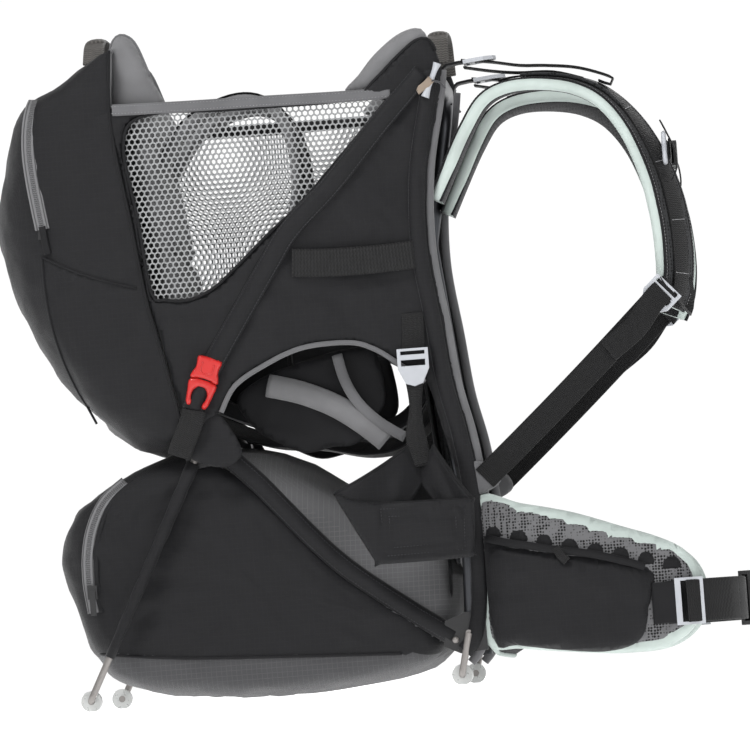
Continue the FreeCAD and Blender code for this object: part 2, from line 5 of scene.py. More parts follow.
import bmesh
import bpy
import numpy as np
from mathutils import Matrix, Vector, noise
from mathutils.bvhtree import BVHTree
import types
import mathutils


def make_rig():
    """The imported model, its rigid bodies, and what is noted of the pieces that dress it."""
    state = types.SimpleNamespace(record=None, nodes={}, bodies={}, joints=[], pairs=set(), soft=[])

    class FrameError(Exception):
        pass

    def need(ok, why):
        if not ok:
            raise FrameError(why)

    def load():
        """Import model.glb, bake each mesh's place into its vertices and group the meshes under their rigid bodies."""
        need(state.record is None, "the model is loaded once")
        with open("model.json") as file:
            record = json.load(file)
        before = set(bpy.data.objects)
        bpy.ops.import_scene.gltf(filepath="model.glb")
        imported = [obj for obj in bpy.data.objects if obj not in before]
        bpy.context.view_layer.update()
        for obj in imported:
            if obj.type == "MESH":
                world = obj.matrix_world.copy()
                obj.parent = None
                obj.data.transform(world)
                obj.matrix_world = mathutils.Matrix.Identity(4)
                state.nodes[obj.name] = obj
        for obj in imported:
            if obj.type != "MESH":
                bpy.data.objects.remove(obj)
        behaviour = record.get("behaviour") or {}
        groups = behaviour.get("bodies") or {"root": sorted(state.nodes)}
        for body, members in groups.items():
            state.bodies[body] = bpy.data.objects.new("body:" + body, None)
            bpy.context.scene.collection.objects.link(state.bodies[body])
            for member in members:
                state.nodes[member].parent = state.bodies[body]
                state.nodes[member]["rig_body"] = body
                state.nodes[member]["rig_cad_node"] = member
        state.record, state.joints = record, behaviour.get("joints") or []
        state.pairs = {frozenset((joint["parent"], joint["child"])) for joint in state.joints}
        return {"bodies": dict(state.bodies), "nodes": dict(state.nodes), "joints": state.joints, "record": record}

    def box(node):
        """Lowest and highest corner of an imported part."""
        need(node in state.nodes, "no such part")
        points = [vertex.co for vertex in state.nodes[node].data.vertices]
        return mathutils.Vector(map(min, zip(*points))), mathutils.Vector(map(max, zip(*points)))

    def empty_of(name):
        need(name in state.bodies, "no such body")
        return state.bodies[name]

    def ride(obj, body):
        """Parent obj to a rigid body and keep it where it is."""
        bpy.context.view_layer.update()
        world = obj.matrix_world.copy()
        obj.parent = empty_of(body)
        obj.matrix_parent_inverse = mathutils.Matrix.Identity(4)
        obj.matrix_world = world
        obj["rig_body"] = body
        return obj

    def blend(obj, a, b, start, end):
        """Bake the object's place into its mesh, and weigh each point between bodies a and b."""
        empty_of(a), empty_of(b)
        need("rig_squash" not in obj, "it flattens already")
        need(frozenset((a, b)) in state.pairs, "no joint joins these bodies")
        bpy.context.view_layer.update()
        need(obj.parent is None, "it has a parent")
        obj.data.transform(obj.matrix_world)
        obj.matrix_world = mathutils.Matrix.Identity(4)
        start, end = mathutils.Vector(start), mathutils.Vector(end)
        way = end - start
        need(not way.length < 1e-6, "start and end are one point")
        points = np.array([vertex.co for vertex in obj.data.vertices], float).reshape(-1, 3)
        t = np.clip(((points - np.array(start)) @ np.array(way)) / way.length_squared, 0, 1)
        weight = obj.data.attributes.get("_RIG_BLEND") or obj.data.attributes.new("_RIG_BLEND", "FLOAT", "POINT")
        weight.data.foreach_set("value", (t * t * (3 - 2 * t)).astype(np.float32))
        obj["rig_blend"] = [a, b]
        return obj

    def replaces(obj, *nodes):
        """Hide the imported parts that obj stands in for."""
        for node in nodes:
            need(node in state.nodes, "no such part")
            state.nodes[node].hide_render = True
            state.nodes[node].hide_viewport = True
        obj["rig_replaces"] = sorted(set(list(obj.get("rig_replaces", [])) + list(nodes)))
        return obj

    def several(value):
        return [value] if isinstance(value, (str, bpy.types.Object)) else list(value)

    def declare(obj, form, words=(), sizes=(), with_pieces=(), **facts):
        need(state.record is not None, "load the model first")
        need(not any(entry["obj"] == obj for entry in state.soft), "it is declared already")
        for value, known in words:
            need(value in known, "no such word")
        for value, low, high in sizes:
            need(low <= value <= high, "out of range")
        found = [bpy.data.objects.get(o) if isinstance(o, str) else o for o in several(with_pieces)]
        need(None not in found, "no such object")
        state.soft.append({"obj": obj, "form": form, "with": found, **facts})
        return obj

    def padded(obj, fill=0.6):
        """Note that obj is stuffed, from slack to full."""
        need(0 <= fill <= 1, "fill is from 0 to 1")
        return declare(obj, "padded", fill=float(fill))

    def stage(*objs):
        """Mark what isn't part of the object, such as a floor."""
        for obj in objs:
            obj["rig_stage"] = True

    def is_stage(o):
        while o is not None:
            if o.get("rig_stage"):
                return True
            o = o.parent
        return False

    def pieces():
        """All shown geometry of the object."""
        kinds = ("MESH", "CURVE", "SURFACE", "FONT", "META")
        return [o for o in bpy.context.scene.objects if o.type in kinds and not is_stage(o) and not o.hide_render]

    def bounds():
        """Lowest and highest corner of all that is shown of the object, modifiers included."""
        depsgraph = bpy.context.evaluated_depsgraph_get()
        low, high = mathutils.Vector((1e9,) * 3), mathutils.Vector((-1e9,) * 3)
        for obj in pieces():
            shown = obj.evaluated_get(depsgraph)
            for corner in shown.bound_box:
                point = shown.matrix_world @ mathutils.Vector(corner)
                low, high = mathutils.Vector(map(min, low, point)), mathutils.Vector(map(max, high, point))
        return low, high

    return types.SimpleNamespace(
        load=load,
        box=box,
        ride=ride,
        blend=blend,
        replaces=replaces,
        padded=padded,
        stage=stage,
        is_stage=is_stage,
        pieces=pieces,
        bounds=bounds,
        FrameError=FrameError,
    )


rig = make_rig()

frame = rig.load()
CAD_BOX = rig.bounds()
MM = 0.001                      # the sizes below are in millimetres

# ---------------------------------------------------------------- sizes taken from the frame
WALL_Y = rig.box("rear_pod")[1].y / MM            # half-width of the child's cockpit
WALL_BEND, WALL_FRONT, WALL_TAPER = -90, 116, 24  # where the walls draw in, and by how much
SEAT_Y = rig.box("seat_frame")[1].y / MM - 7      # the seat tubes' half-spacing
BAG_Y = 126                                      # the storage compartment's half-width


# ---------------------------------------------------------------- curves and meshes
def smooth(points, closed=False, step=5.0):
    """Points along a Catmull-Rom curve through the given ones, about step apart."""
    pts = [Vector(p) for p in points]
    count = len(pts)
    out = []
    for i in range(count if closed else count - 1):
        if closed:
            a, b, c, d = (pts[(i + k) % count] for k in (-1, 0, 1, 2))
        else:
            a, b, c, d = (pts[min(max(i + k, 0), count - 1)] for k in (-1, 0, 1, 2))
        pieces = max(1, round((c - b).length / step))
        for j in range(pieces):
            t = j / pieces
            cubic = (3 * b - a - 3 * c + d) * t ** 3
            out.append(0.5 * (2 * b + (c - a) * t + (2 * a - 5 * b + 4 * c - d) * t * t + cubic))
    if not closed:
        out.append(pts[-1])
    return out


def closed_line(points, step):
    """A smooth closed outline as plain pairs."""
    return [tuple(p) for p in smooth(points, True, step)]


def at_side(points, y, step):
    """A smooth line of X and Z at one distance from the middle plane."""
    return [Vector((p[0], y, p[1])) for p in smooth(points, step=step)]


def at_level(points, sign, z, step):
    """A smooth line of X and distance from the middle plane, at one height."""
    return [Vector((p[0], sign * p[1], z)) for p in smooth(points, step=step)]


def add(name, verts, faces, material, body=None, uvs=None, flat=False):
    """A mesh object from millimetre points, riding on a CAD body."""
    mesh = bpy.data.meshes.new(name)
    mesh.from_pydata([(x * MM, y * MM, z * MM) for x, y, z in verts], [], faces)
    mesh.materials.append(material)
    if uvs:
        layer = mesh.uv_layers.new(name="UVMap")
        for loop in mesh.loops:
            layer.data[loop.index].uv = uvs[loop.vertex_index]
    mesh.polygons.foreach_set("use_smooth", [not flat] * len(mesh.polygons))
    obj = bpy.data.objects.new(name, mesh)
    bpy.context.scene.collection.objects.link(obj)
    bm = bmesh.new()
    bm.from_mesh(mesh)
    bmesh.ops.recalc_face_normals(bm, faces=bm.faces)
    bm.to_mesh(mesh)
    bm.free()
    if body:
        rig.ride(obj, body)
    return obj


def along(path, across):
    """For each point of a path: the point, the direction of width and the direction of thickness."""
    out = []
    for i, p in enumerate(path):
        ahead = path[min(i + 1, len(path) - 1)] - path[max(i - 1, 0)]
        ahead.normalize()
        side = Vector(across[i] if isinstance(across, list) else across)
        side = (side - ahead * side.dot(ahead)).normalized()
        out.append((p, side, ahead.cross(side)))
    return out


def sweep(name, path, section, across, material, body, closed=False):
    """Carries a closed section of (width, thickness) points along a path, with UVs in decimetres."""
    section = section if callable(section) else (lambda i, s=section: s)
    verts, uvs, faces = [], [], []
    run = 0.0
    size = len(section(0))
    rows = along(path, across)
    for i, (p, side, up) in enumerate(rows):
        if i:
            run += (p - path[i - 1]).length
        for a, b in section(i):
            verts.append(p + side * a + up * b)
            uvs.append((a / 100, run / 100))
    count = len(rows)
    for i in range(count if closed else count - 1):
        j = (i + 1) % count
        for k in range(size):
            m = (k + 1) % size
            faces.append((i * size + k, i * size + m, j * size + m, j * size + k))
    if not closed:
        faces.append(tuple(range(size - 1, -1, -1)))
        faces.append(tuple(range((count - 1) * size, count * size)))
    return add(name, verts, faces, material, body, uvs)


def strap_section(width, thick, crown=0.0):
    """A flat strap's section with soft edges; crown lifts the middle of the upper face."""
    w, t = width / 2, thick / 2
    e = min(t, w * 0.3)
    top = [(-w, 0), (-w + 0.3 * e, t * 0.7), (-w + e, t)]
    middle = [(w * k, t + crown * (1 - k * k)) for k in (-0.6, -0.2, 0.2, 0.6)]
    down = [(w - e, t), (w - 0.3 * e, t * 0.7), (w, 0), (w - 0.3 * e, -t * 0.7), (w - e, -t)]
    under = [(0, -t), (-w + e, -t), (-w + 0.3 * e, -t * 0.7)]
    return top + middle + down + under


def strap(name, path, across, width, thick, material, body, crown=0.0):
    return sweep(name, path, strap_section(width, thick, crown), across, material, body)


def round_section(radius, flatten=1.0, sides=12):
    turn = 2 * math.pi / sides
    return [(radius * math.cos(k * turn), radius * flatten * math.sin(k * turn))
            for k in range(sides)]


def tube(name, path, radius, material, body, across=(0, 1, 0), flatten=1.0, closed=False):
    """A round or flattened tube; radius may be a function of the place along the path."""
    if callable(radius):
        last = len(path) - 1

        def section(i):
            return round_section(radius(i / last), flatten)
    else:
        section = round_section(radius, flatten)
    return sweep(name, path, section, across, material, body, closed)


def inside(x, z, outline):
    """Whether a 2-D point is within an outline."""
    hit = False
    for (ax, az), (bx, bz) in zip(outline, outline[1:] + outline[:1]):
        if (az > z) != (bz > z) and x < (bx - ax) * (z - az) / (bz - az) + ax:
            hit = not hit
    return hit


def distances(points, line, closed=True):
    """How far each 2-D point is from a polyline."""
    pts = np.array(points, float).reshape(-1, 2)
    a = np.array([tuple(p)[:2] for p in line], float)
    b = np.roll(a, -1, axis=0)
    if not closed:
        a, b = a[:-1], b[:-1]
    best = np.full(len(pts), 1e9)
    for s, e in zip(a, b):
        d = e - s
        t = np.clip(((pts - s) @ d) / max(d @ d, 1e-9), 0, 1)
        best = np.minimum(best, np.hypot(*(pts - s - t[:, None] * d).T))
    return best


def filled(outline, holes=(), step=7.0):
    """A flat mesh inside an outline, cut into squares about step wide: its points and faces."""
    bm = bmesh.new()
    edges = []
    for ring in (outline, *holes):
        vs = [bm.verts.new((p[0], p[1], 0)) for p in ring]
        edges += [bm.edges.new((vs[i], vs[(i + 1) % len(vs)])) for i in range(len(vs))]
    bmesh.ops.triangle_fill(bm, use_beauty=True, edges=edges)
    for axis in (0, 1):
        values = [p[axis] for p in outline]
        at = math.floor(min(values) / step) * step + step
        while at < max(values):
            spot, normal = [0, 0, 0], [0, 0, 0]
            spot[axis], normal[axis] = at, 1
            geom = bm.verts[:] + bm.edges[:] + bm.faces[:]
            bmesh.ops.bisect_plane(bm, geom=geom, dist=0.05, plane_co=spot, plane_no=normal)
            at += step
    bm.verts.index_update()
    verts = [(v.co.x, v.co.y) for v in bm.verts]
    rim = [any(len(e.link_faces) < 2 for e in v.link_edges) for v in bm.verts]
    faces = [tuple(v.index for v in f.verts) for f in bm.faces]
    bm.free()
    return verts, faces, rim


def pillow(name, outline, thick, place, material, body, edge=9.0, holes=(), channels=(),
           depth=0.6, groove=3.0, ripple=0.0, back=1.0, step=7.0):
    """A padded panel: full in the middle, closed at its edge, pressed in along its sewn channels.

    place(a, b, c) turns the flat place (a, b) and the height c into a point of the row frame.
    """
    verts, faces, rim = filled(outline, holes, step)
    far = distances(verts, outline)
    for hole in holes:
        far = np.minimum(far, distances(verts, hole))
    fall = np.clip(far / edge, 0, 1)
    rise = np.sqrt(np.clip(1 - (1 - fall) ** 2, 0, 1)) * thick / 2
    for line in channels:
        near = distances(verts, line, closed=False)
        rise = rise * (1 - depth * np.exp(-(near / groove) ** 2))
    seed = sum(ord(c) for c in name) % 97
    front, rear, points = [], [], []
    for i, (a, b) in enumerate(verts):
        wave = noise.noise(Vector((a / 34, b / 22, seed)))
        wave += 0.5 * noise.noise(Vector((a / 13, b / 17, seed)))
        lift = ripple * wave * min(1.0, fall[i] * 1.5)
        front.append(len(points))
        points.append(place(a, b, 0.0 if rim[i] else rise[i] + lift))
    for i, (a, b) in enumerate(verts):
        if rim[i]:
            rear.append(front[i])
            continue
        rear.append(len(points))
        points.append(place(a, b, -rise[i] * back))
    all_faces = [tuple(front[k] for k in f) for f in faces]
    all_faces += [tuple(rear[k] for k in reversed(f)) for f in faces]
    uvs = [(p[0] / 100, p[2] / 100) for p in points]
    return add(name, points, all_faces, material, body, uvs)


def stitches(name, path, up, material, body, pitch=3.4, long=2.3, radius=0.32):
    """A row of thread stitches lying on a path; up points away from the cloth."""
    verts, faces = [], []
    run, want = 0.0, 0.0
    up = Vector(up)
    for a, b in zip(path, path[1:]):
        size = (b - a).length
        while want < run + size:
            d = (b - a).normalized()
            mid = a + d * (want - run)
            side = d.cross(up).normalized() * radius
            high = up * radius * 1.2
            base = len(verts)
            for k, s in ((-1, 0.35), (0, 1.0), (1, 0.35)):
                p = mid + d * (long / 2 * k)
                verts += [p - side * s, p + high * s, p + side * s]
            for r in (0, 3):
                faces += [(base + r, base + r + 1, base + r + 4, base + r + 3),
                          (base + r + 1, base + r + 2, base + r + 5, base + r + 4)]
            want += pitch
        run += size
    return add(name, verts, faces, material, body)


def bevel(obj, width, segments=2):
    """Rounds the sharp edges of a moulded or cut piece."""
    mod = obj.modifiers.new("edges", "BEVEL")
    mod.width = width * MM
    mod.segments = segments
    mod.limit_method = "ANGLE"
    mod.angle_limit = math.radians(40)
    mod.harden_normals = False
    return obj


def dress(node, material, width=0.0):
    """Gives a CAD node its finished material, and soft edges if a width is given."""
    obj = frame["nodes"][node]
    for k in range(len(obj.material_slots)):
        obj.material_slots[k].material = material
    if not obj.material_slots:
        obj.data.materials.append(material)
    if width:
        bevel(obj, width)
    return obj


# ---------------------------------------------------------------- materials
class Shader:
    """A material and short calls that add nodes to it."""

    def __init__(self, name, colour, rough, **values):
        self.mat = bpy.data.materials.new(name)
        self.mat.use_nodes = True
        self.tree = self.mat.node_tree
        self.bsdf = self.tree.nodes["Principled BSDF"]
        self.put("Base Color", (*colour, 1))
        self.put("Roughness", rough)
        for key, value in values.items():
            self.put(key.replace("_", " "), value)
        self.height = None

    def put(self, socket, value):
        self.bsdf.inputs[socket].default_value = value

    def node(self, kind, **settings):
        made = self.tree.nodes.new("ShaderNode" + kind)
        for key, value in settings.items():
            setattr(made, key, value)
        return made

    def link(self, out, into):
        self.tree.links.new(out, into)

    def math(self, operation, a, b=None):
        made = self.node("Math", operation=operation)
        for socket, value in zip(made.inputs, (a, b)):
            if value is None:
                continue
            if isinstance(value, (int, float)):
                socket.default_value = value
            else:
                self.link(value, socket)
        return made.outputs[0]

    def coords(self, kind="Object"):
        return self.node("TexCoord").outputs[kind]

    def split(self, vector):
        made = self.node("SeparateXYZ")
        self.link(vector, made.inputs[0])
        return made.outputs

    def noise(self, size, detail=3.0, kind="Object", stretch=(1, 1, 1)):
        """Noise whose grains are about size metres across."""
        mapping = self.node("Mapping")
        mapping.inputs["Scale"].default_value = tuple(k / size for k in stretch)
        self.link(self.coords(kind), mapping.inputs["Vector"])
        made = self.node("TexNoise")
        made.inputs["Scale"].default_value = 1.0
        made.inputs["Detail"].default_value = detail
        self.link(mapping.outputs[0], made.inputs["Vector"])
        return made.outputs["Fac"]

    def tint(self, fac, low, high):
        """Colours the surface between two colours, by a factor."""
        mix = self.node("Mix", data_type="RGBA")
        self.link(fac, mix.inputs[0])
        mix.inputs[6].default_value = (*low, 1)
        mix.inputs[7].default_value = (*high, 1)
        self.link(mix.outputs[2], self.bsdf.inputs["Base Color"])
        return mix.outputs[2]

    def bump(self, height, distance, strength=1.0):
        """Adds a bump, on top of any earlier one."""
        made = self.node("Bump")
        made.inputs["Strength"].default_value = strength
        made.inputs["Distance"].default_value = distance
        self.link(height, made.inputs["Height"])
        if self.height:
            self.link(self.height, made.inputs["Normal"])
        self.height = made.outputs[0]
        self.link(self.height, self.bsdf.inputs["Normal"])

    def threads(self, pitch, kind="Object"):
        """A plain weave that looks the same whichever way the cloth faces."""
        x, y, z = (self.math("SINE", self.math("MULTIPLY", axis, 2 * math.pi / pitch))
                   for axis in self.split(self.coords(kind)))
        pairs = [self.math("MULTIPLY", a, b) for a, b in ((x, y), (y, z), (z, x))]
        return self.math("ADD", self.math("ADD", pairs[0], pairs[1]), pairs[2])

    def ripstop(self, pitch, width=0.09):
        """The raised grid of ripstop cloth: 1 on its lines, 0 between them."""
        normal = self.split(self.node("NewGeometry").outputs["Normal"])
        total = None
        for axis, facing in zip(self.split(self.coords()), normal):
            cell = self.math("FRACT", self.math("MULTIPLY", axis, 1 / pitch))
            line = self.math("LESS_THAN", cell, width)
            seen = self.math("LESS_THAN", self.math("ABSOLUTE", facing), 0.55)
            line = self.math("MULTIPLY", line, seen)
            total = line if total is None else self.math("MAXIMUM", total, line)
        return total


def mixed(colour, k):
    return tuple(min(1.0, c * k) for c in colour)


def cloth(name, colour, rough=0.8, pitch=0.0009, ripstop=0.0, wrinkle=0.0016, sheen=0.25):
    """Woven cloth: threads, an optional ripstop grid, soft creases and uneven dye."""
    s = Shader(name, colour, rough, Sheen_Weight=sheen, Sheen_Roughness=0.5,
               Specular_IOR_Level=0.22)
    patches = s.noise(0.035, 4)
    if ripstop:
        grid = s.ripstop(ripstop)
        patches = s.math("ADD", s.math("MULTIPLY", grid, 0.8), s.math("MULTIPLY", patches, 0.5))
        s.bump(grid, 0.0002, 0.5)
    s.tint(patches, mixed(colour, 0.8), mixed(colour, 1.3))
    s.bump(s.threads(pitch), 0.00012, 0.5)
    if wrinkle:
        s.bump(s.noise(0.05, 2), wrinkle * 2.2, 0.7)
        s.bump(s.noise(0.014, 2), wrinkle * 0.2, 0.5)
    return s.mat


def spacer(name, colour, hole, pitch=0.0034):
    """Knitted spacer mesh: round cells, with painted shade in their holes."""
    s = Shader(name, colour, 0.85, Sheen_Weight=0.08, Specular_IOR_Level=0.2)
    cells = s.node("TexVoronoi", feature="F1")
    cells.inputs["Scale"].default_value = 1 / pitch
    cells.inputs["Randomness"].default_value = 0.25
    s.link(s.coords(), cells.inputs["Vector"])
    ramp = s.node("ValToRGB")
    ramp.color_ramp.elements[0].position = 0.28
    ramp.color_ramp.elements[1].position = 0.46
    s.link(cells.outputs["Distance"], ramp.inputs[0])
    # painted shade: the ramp gives the cells' holes the near-black hole colour
    s.tint(ramp.outputs[0], hole, colour)
    s.bump(ramp.outputs[0], 0.0007, 0.8)
    s.bump(s.noise(0.02, 4), 0.0012, 0.5)
    return s.mat


def webbing(name, colour, width, pitch=0.0019):
    """Woven strap: ribs across it, a firm edge and a slight shine. It uses the strap's UVs."""
    s = Shader(name, colour, 0.62, Sheen_Weight=0.05, Specular_IOR_Level=0.25)
    u, v, _ = s.split(s.coords("UV"))
    wave = s.math("SINE", s.math("MULTIPLY", u, 2 * math.pi * 0.1 / 0.0045))
    slant = s.math("ADD", s.math("MULTIPLY", v, 2 * math.pi * 0.1 / pitch), wave)
    ribs = s.math("SINE", slant)
    rim = s.math("GREATER_THAN", s.math("ABSOLUTE", u), (width / 2 - 1.6) / 100)
    tone = s.math("ADD", s.math("MULTIPLY", ribs, 0.35), s.math("MULTIPLY", s.noise(0.006), 0.7))
    s.tint(s.math("SUBTRACT", tone, s.math("MULTIPLY", rim, 0.3)), mixed(colour, 0.6), mixed(colour, 1.7))
    s.bump(ribs, 0.00035, 0.8)
    s.bump(s.math("MULTIPLY", rim, 1), 0.0003, 0.6)
    return s.mat


def plastic(name, colour, rough=0.42, clear=0.0):
    """Moulded plastic: fine grain, faint flow marks and handling wear."""
    s = Shader(name, colour, rough, Specular_IOR_Level=0.5, Coat_Weight=0.05)
    if clear:
        s.put("Transmission Weight", clear)
        s.put("IOR", 1.45)
    s.tint(s.noise(0.012, 4), mixed(colour, 0.9), mixed(colour, 1.07))
    wear = s.noise(0.004, 6)
    s.link(s.math("ADD", s.math("MULTIPLY", wear, 0.25), rough - 0.12), s.bsdf.inputs["Roughness"])
    s.bump(s.noise(0.0006, 2), 0.00006, 0.6)
    return s.mat


def metal(name, colour, rough, metallic):
    s = Shader(name, colour, rough, Metallic=metallic)
    s.tint(s.noise(0.01, 5), mixed(colour, 0.85), mixed(colour, 1.15))
    s.bump(s.noise(0.0008, 3, stretch=(1, 1, 0.2)), 0.00005, 0.5)
    return s.mat


def zip_cloth(name, colour):
    """Zip tapes with a coil down the middle, from the strip's UVs; the coil is darker, with painted shade between its
    teeth and a painted shade line along the tape's fold.
    """
    s = Shader(name, colour, 0.7, Sheen_Weight=0.1)
    u, v, _ = s.split(s.coords("UV"))
    off = s.math("ABSOLUTE", u)
    coil = s.math("LESS_THAN", off, 0.024)
    teeth = s.math("SINE", s.math("MULTIPLY", v, 2 * math.pi * 0.1 / 0.0021))
    # painted shade: a dark line along the tape's fold
    fold = s.math("LESS_THAN", s.math("ABSOLUTE", s.math("SUBTRACT", off, 0.052)), 0.006)
    # painted shade: the coil's teeth alternate darker and lighter, following their bump
    shaded = s.math("ADD", s.math("MULTIPLY", teeth, 0.3), 0.5)
    dark = s.math("MAXIMUM", s.math("MULTIPLY", coil, shaded), fold)
    s.tint(dark, mixed(colour, 1.15), mixed(colour, 0.35))
    s.bump(s.math("MULTIPLY", coil, teeth), 0.0006, 0.8)
    s.bump(s.threads(0.0009), 0.0001, 0.4)
    return s.mat


BLACK = (0.0062, 0.0062, 0.0075)
nylon = cloth("black_ripstop", BLACK, 0.5, ripstop=0.0052, wrinkle=0.0042, sheen=0.05)
plain_black = cloth("black_cloth", mixed(BLACK, 0.8), 0.6, wrinkle=0.002, sheen=0.04)
binding = cloth("grey_binding", (0.115, 0.115, 0.12), 0.8, pitch=0.0012, wrinkle=0.0005)
lining = cloth("grey_lining", (0.16, 0.16, 0.165), 0.85, wrinkle=0.0022)
top_cloth = cloth("grey_top_cloth", (0.13, 0.13, 0.135), 0.75, ripstop=0.0052, wrinkle=0.002)
base_cloth = cloth("grey_base_cloth", (0.055, 0.055, 0.058), 0.7, ripstop=0.0052, wrinkle=0.002)
mint = cloth("mint_edge", (0.44, 0.50, 0.475), 0.7, pitch=0.0014, wrinkle=0.0006, sheen=0.1)
net_cloth = cloth("grey_net", (0.27, 0.275, 0.28), 0.6, pitch=0.0007, wrinkle=0.0)
# each spacer's second colour is the painted shade in its holes
spacer_black = spacer("black_spacer", (0.012, 0.012, 0.014), (0.003, 0.003, 0.003))
spacer_open = spacer("open_spacer", (0.14, 0.14, 0.145), (0.004, 0.004, 0.004), 0.0031)
spacer_grey = spacer("shoulder_spacer", (0.03, 0.031, 0.033), (0.005, 0.005, 0.005), 0.0036)
web_black = webbing("black_webbing", (0.007, 0.007, 0.0075), 25)
web_wide = webbing("wide_black_webbing", (0.007, 0.007, 0.0075), 50)
web_grab = webbing("ribbed_webbing", (0.009, 0.009, 0.0095), 29, pitch=0.0034)
web_handle = webbing("handle_webbing", (0.085, 0.08, 0.075), 24, pitch=0.0034)
zip_grey = zip_cloth("grey_zip", (0.125, 0.125, 0.13))
white = plastic("white_plastic", (0.42, 0.435, 0.465), 0.38)
red = plastic("red_plastic", (0.50, 0.016, 0.014), 0.34)
black_plastic = plastic("black_plastic", (0.010, 0.010, 0.011), 0.45)
clear_plastic = plastic("foot_plastic", (0.6, 0.61, 0.6), 0.3, clear=0.35)
tan = cloth("tan_tab", (0.25, 0.2, 0.155), 0.7, wrinkle=0.0)
rod_paint = metal("rod_paint", (0.26, 0.245, 0.235), 0.4, 0.6)
tube_metal = metal("dark_tube", (0.06, 0.062, 0.068), 0.35, 0.9)
thread = cloth("thread", (0.05, 0.05, 0.055), 0.6, pitch=0.0005, wrinkle=0.0)
grey_thread = cloth("grey_thread", (0.33, 0.33, 0.34), 0.6, pitch=0.0005, wrinkle=0.0)

SIDES = ((-1, "right"), (1, "left"))
ROOT = "carrier"


# ---------------------------------------------------------------- where the cloth lies
def wall_y(x):
    """The cockpit wall's outer face, as a half-width at a place along the carrier."""
    inward = (x - WALL_BEND) / (WALL_FRONT - WALL_BEND) * WALL_TAPER
    return WALL_Y - min(max(inward, 0), WALL_TAPER)


def on_wall(sign, proud=0.0):
    """Places flat shapes of X and Z on a side wall."""
    return lambda x, z, c: (x, sign * (wall_y(x) + proud + c), z)


def wall_path(points, sign, proud, step=5.0, closed=False):
    """A smooth line of X and Z on a side wall, as 3-D points."""
    return [Vector((p[0], sign * (wall_y(p[0]) + proud), p[1]))
            for p in smooth(points, closed, step)]


WINDOW = [(-206, 607), (-120, 606), (-30, 606), (38, 607), (30, 592), (-14, 545), (-55, 503), (-90, 474),
          (-125, 443), (-149, 424), (-175, 414), (-200, 416), (-213, 424), (-222, 501), (-231, 580)]
ARCH = [(96, 180), (90, 205), (73, 269), (60, 312), (33, 334), (10, 350), (-15, 358), (-62, 356),
        (-102, 341), (-134, 322), (-150, 296)]
SPINE = [(88, 632), (83, 600), (68, 529), (64, 451), (73, 372), (80, 310), (91, 258), (98, 205),
         (101, 154), (100, 92), (92, 50), (80, 34)]
SEAT_TUBE = [(70, 50), (21, 84), (-47, 139), (-120, 222), (-152, 256), (-170, 290)]
DIAGONAL = [(80, 630), (34, 582), (-20, 522), (-66, 478), (-90, 444), (-126, 390), (-156, 344), (-180, 300)]


def at_height(line, z):
    """Where a line of X and Z stands at a height, by straight steps between its points."""
    line = sorted(line, key=lambda p: p[1])
    return float(np.interp(z, [p[1] for p in line], [p[0] for p in line]))


def resampled(points, count):
    """The same line with evenly spaced points."""
    pts = smooth(points, step=3)
    runs = np.cumsum([0] + [(b - a).length for a, b in zip(pts, pts[1:])])
    want = np.linspace(0, runs[-1], count)
    return [Vector((float(np.interp(w, runs, [p[0] for p in pts])),
                    float(np.interp(w, runs, [p[1] for p in pts])))) for w in want]


def bulged(name, rim, spine, half, power, material, crease, body=None, rows=44, wrinkle=2.2,
           middle=None):
    """A soft box: its outline in X and Z is rim in the middle and shrinks to spine at its sides."""
    verts, faces, uvs = [], [], []
    seed = len(name)
    for j in range(rows + 1):
        angle = math.pi * (j / rows - 0.5)
        y = half * math.copysign(abs(math.sin(angle)) ** (2 / power), angle)
        h = abs(math.cos(angle)) ** (2 / power)
        for i, (r, s) in enumerate(zip(rim, spine)):
            outer = r if middle is None else r.lerp(middle[i], max(0.0, 1 - (abs(y) / half) ** 2.2))
            p = s.lerp(outer, h)
            wave = noise.noise(Vector((p.x / 45, y / 60, p.y / 38 + seed)))
            wave += 0.6 * noise.noise(Vector((p.x / 17, y / 30, p.y / 21 + seed)))
            k = crease(p.x, p.y) if crease else 0.0
            side = min(1.0, abs(y) / half) ** 6
            push = wrinkle * wave * min(1.0, 3 * h) - k
            away = (outer - s)
            away = away.normalized() if away.length > 1 else Vector((0, 0))
            q = p + away * push * (1 - side) * min(1.0, away.length)
            yy = y + math.copysign(push * side, y)
            verts.append((q.x, yy, q.y))
            uvs.append((i / 20, j / 20))
    size = len(rim)
    for j in range(rows):
        for i in range(size - 1):
            a = j * size + i
            faces.append((a, a + 1, a + size + 1, a + size))
    return add(name, verts, faces, material, body, uvs)


def tree_of(obj):
    """A search tree of a piece, so that trim can lie on its surface."""
    verts = [v.co / MM for v in obj.data.vertices]
    return BVHTree.FromPolygons(verts, [tuple(p.vertices) for p in obj.data.polygons])


def draped(tree, points, sign, proud, step=5.0, fallback=BAG_Y):
    """A smooth line of X and Z that lies on one side of a soft piece."""
    out = []
    for p in smooth(points, step=step):
        hit = tree.ray_cast(Vector((p[0], sign * 260, p[1])), Vector((0, -sign, 0)))
        y = hit[0].y if hit[0] else sign * fallback
        if out and abs(y - out[-1].y) > 12:
            y = out[-1].y - sign * proud
        out.append(Vector((p[0], y + sign * proud, p[1])))
    return out


def crease_along(lines, depth, width):
    """A function that is deep near any of these lines of X and Z."""
    fine = [[tuple(p) for p in smooth(line, step=10)] for line in lines]

    def press(x, z):
        total = 0.0
        for line in fine:
            near = min((x - a) ** 2 + (z - b) ** 2 for a, b in line)
            total = max(total, depth * math.exp(-near / width ** 2))
        return total

    return press


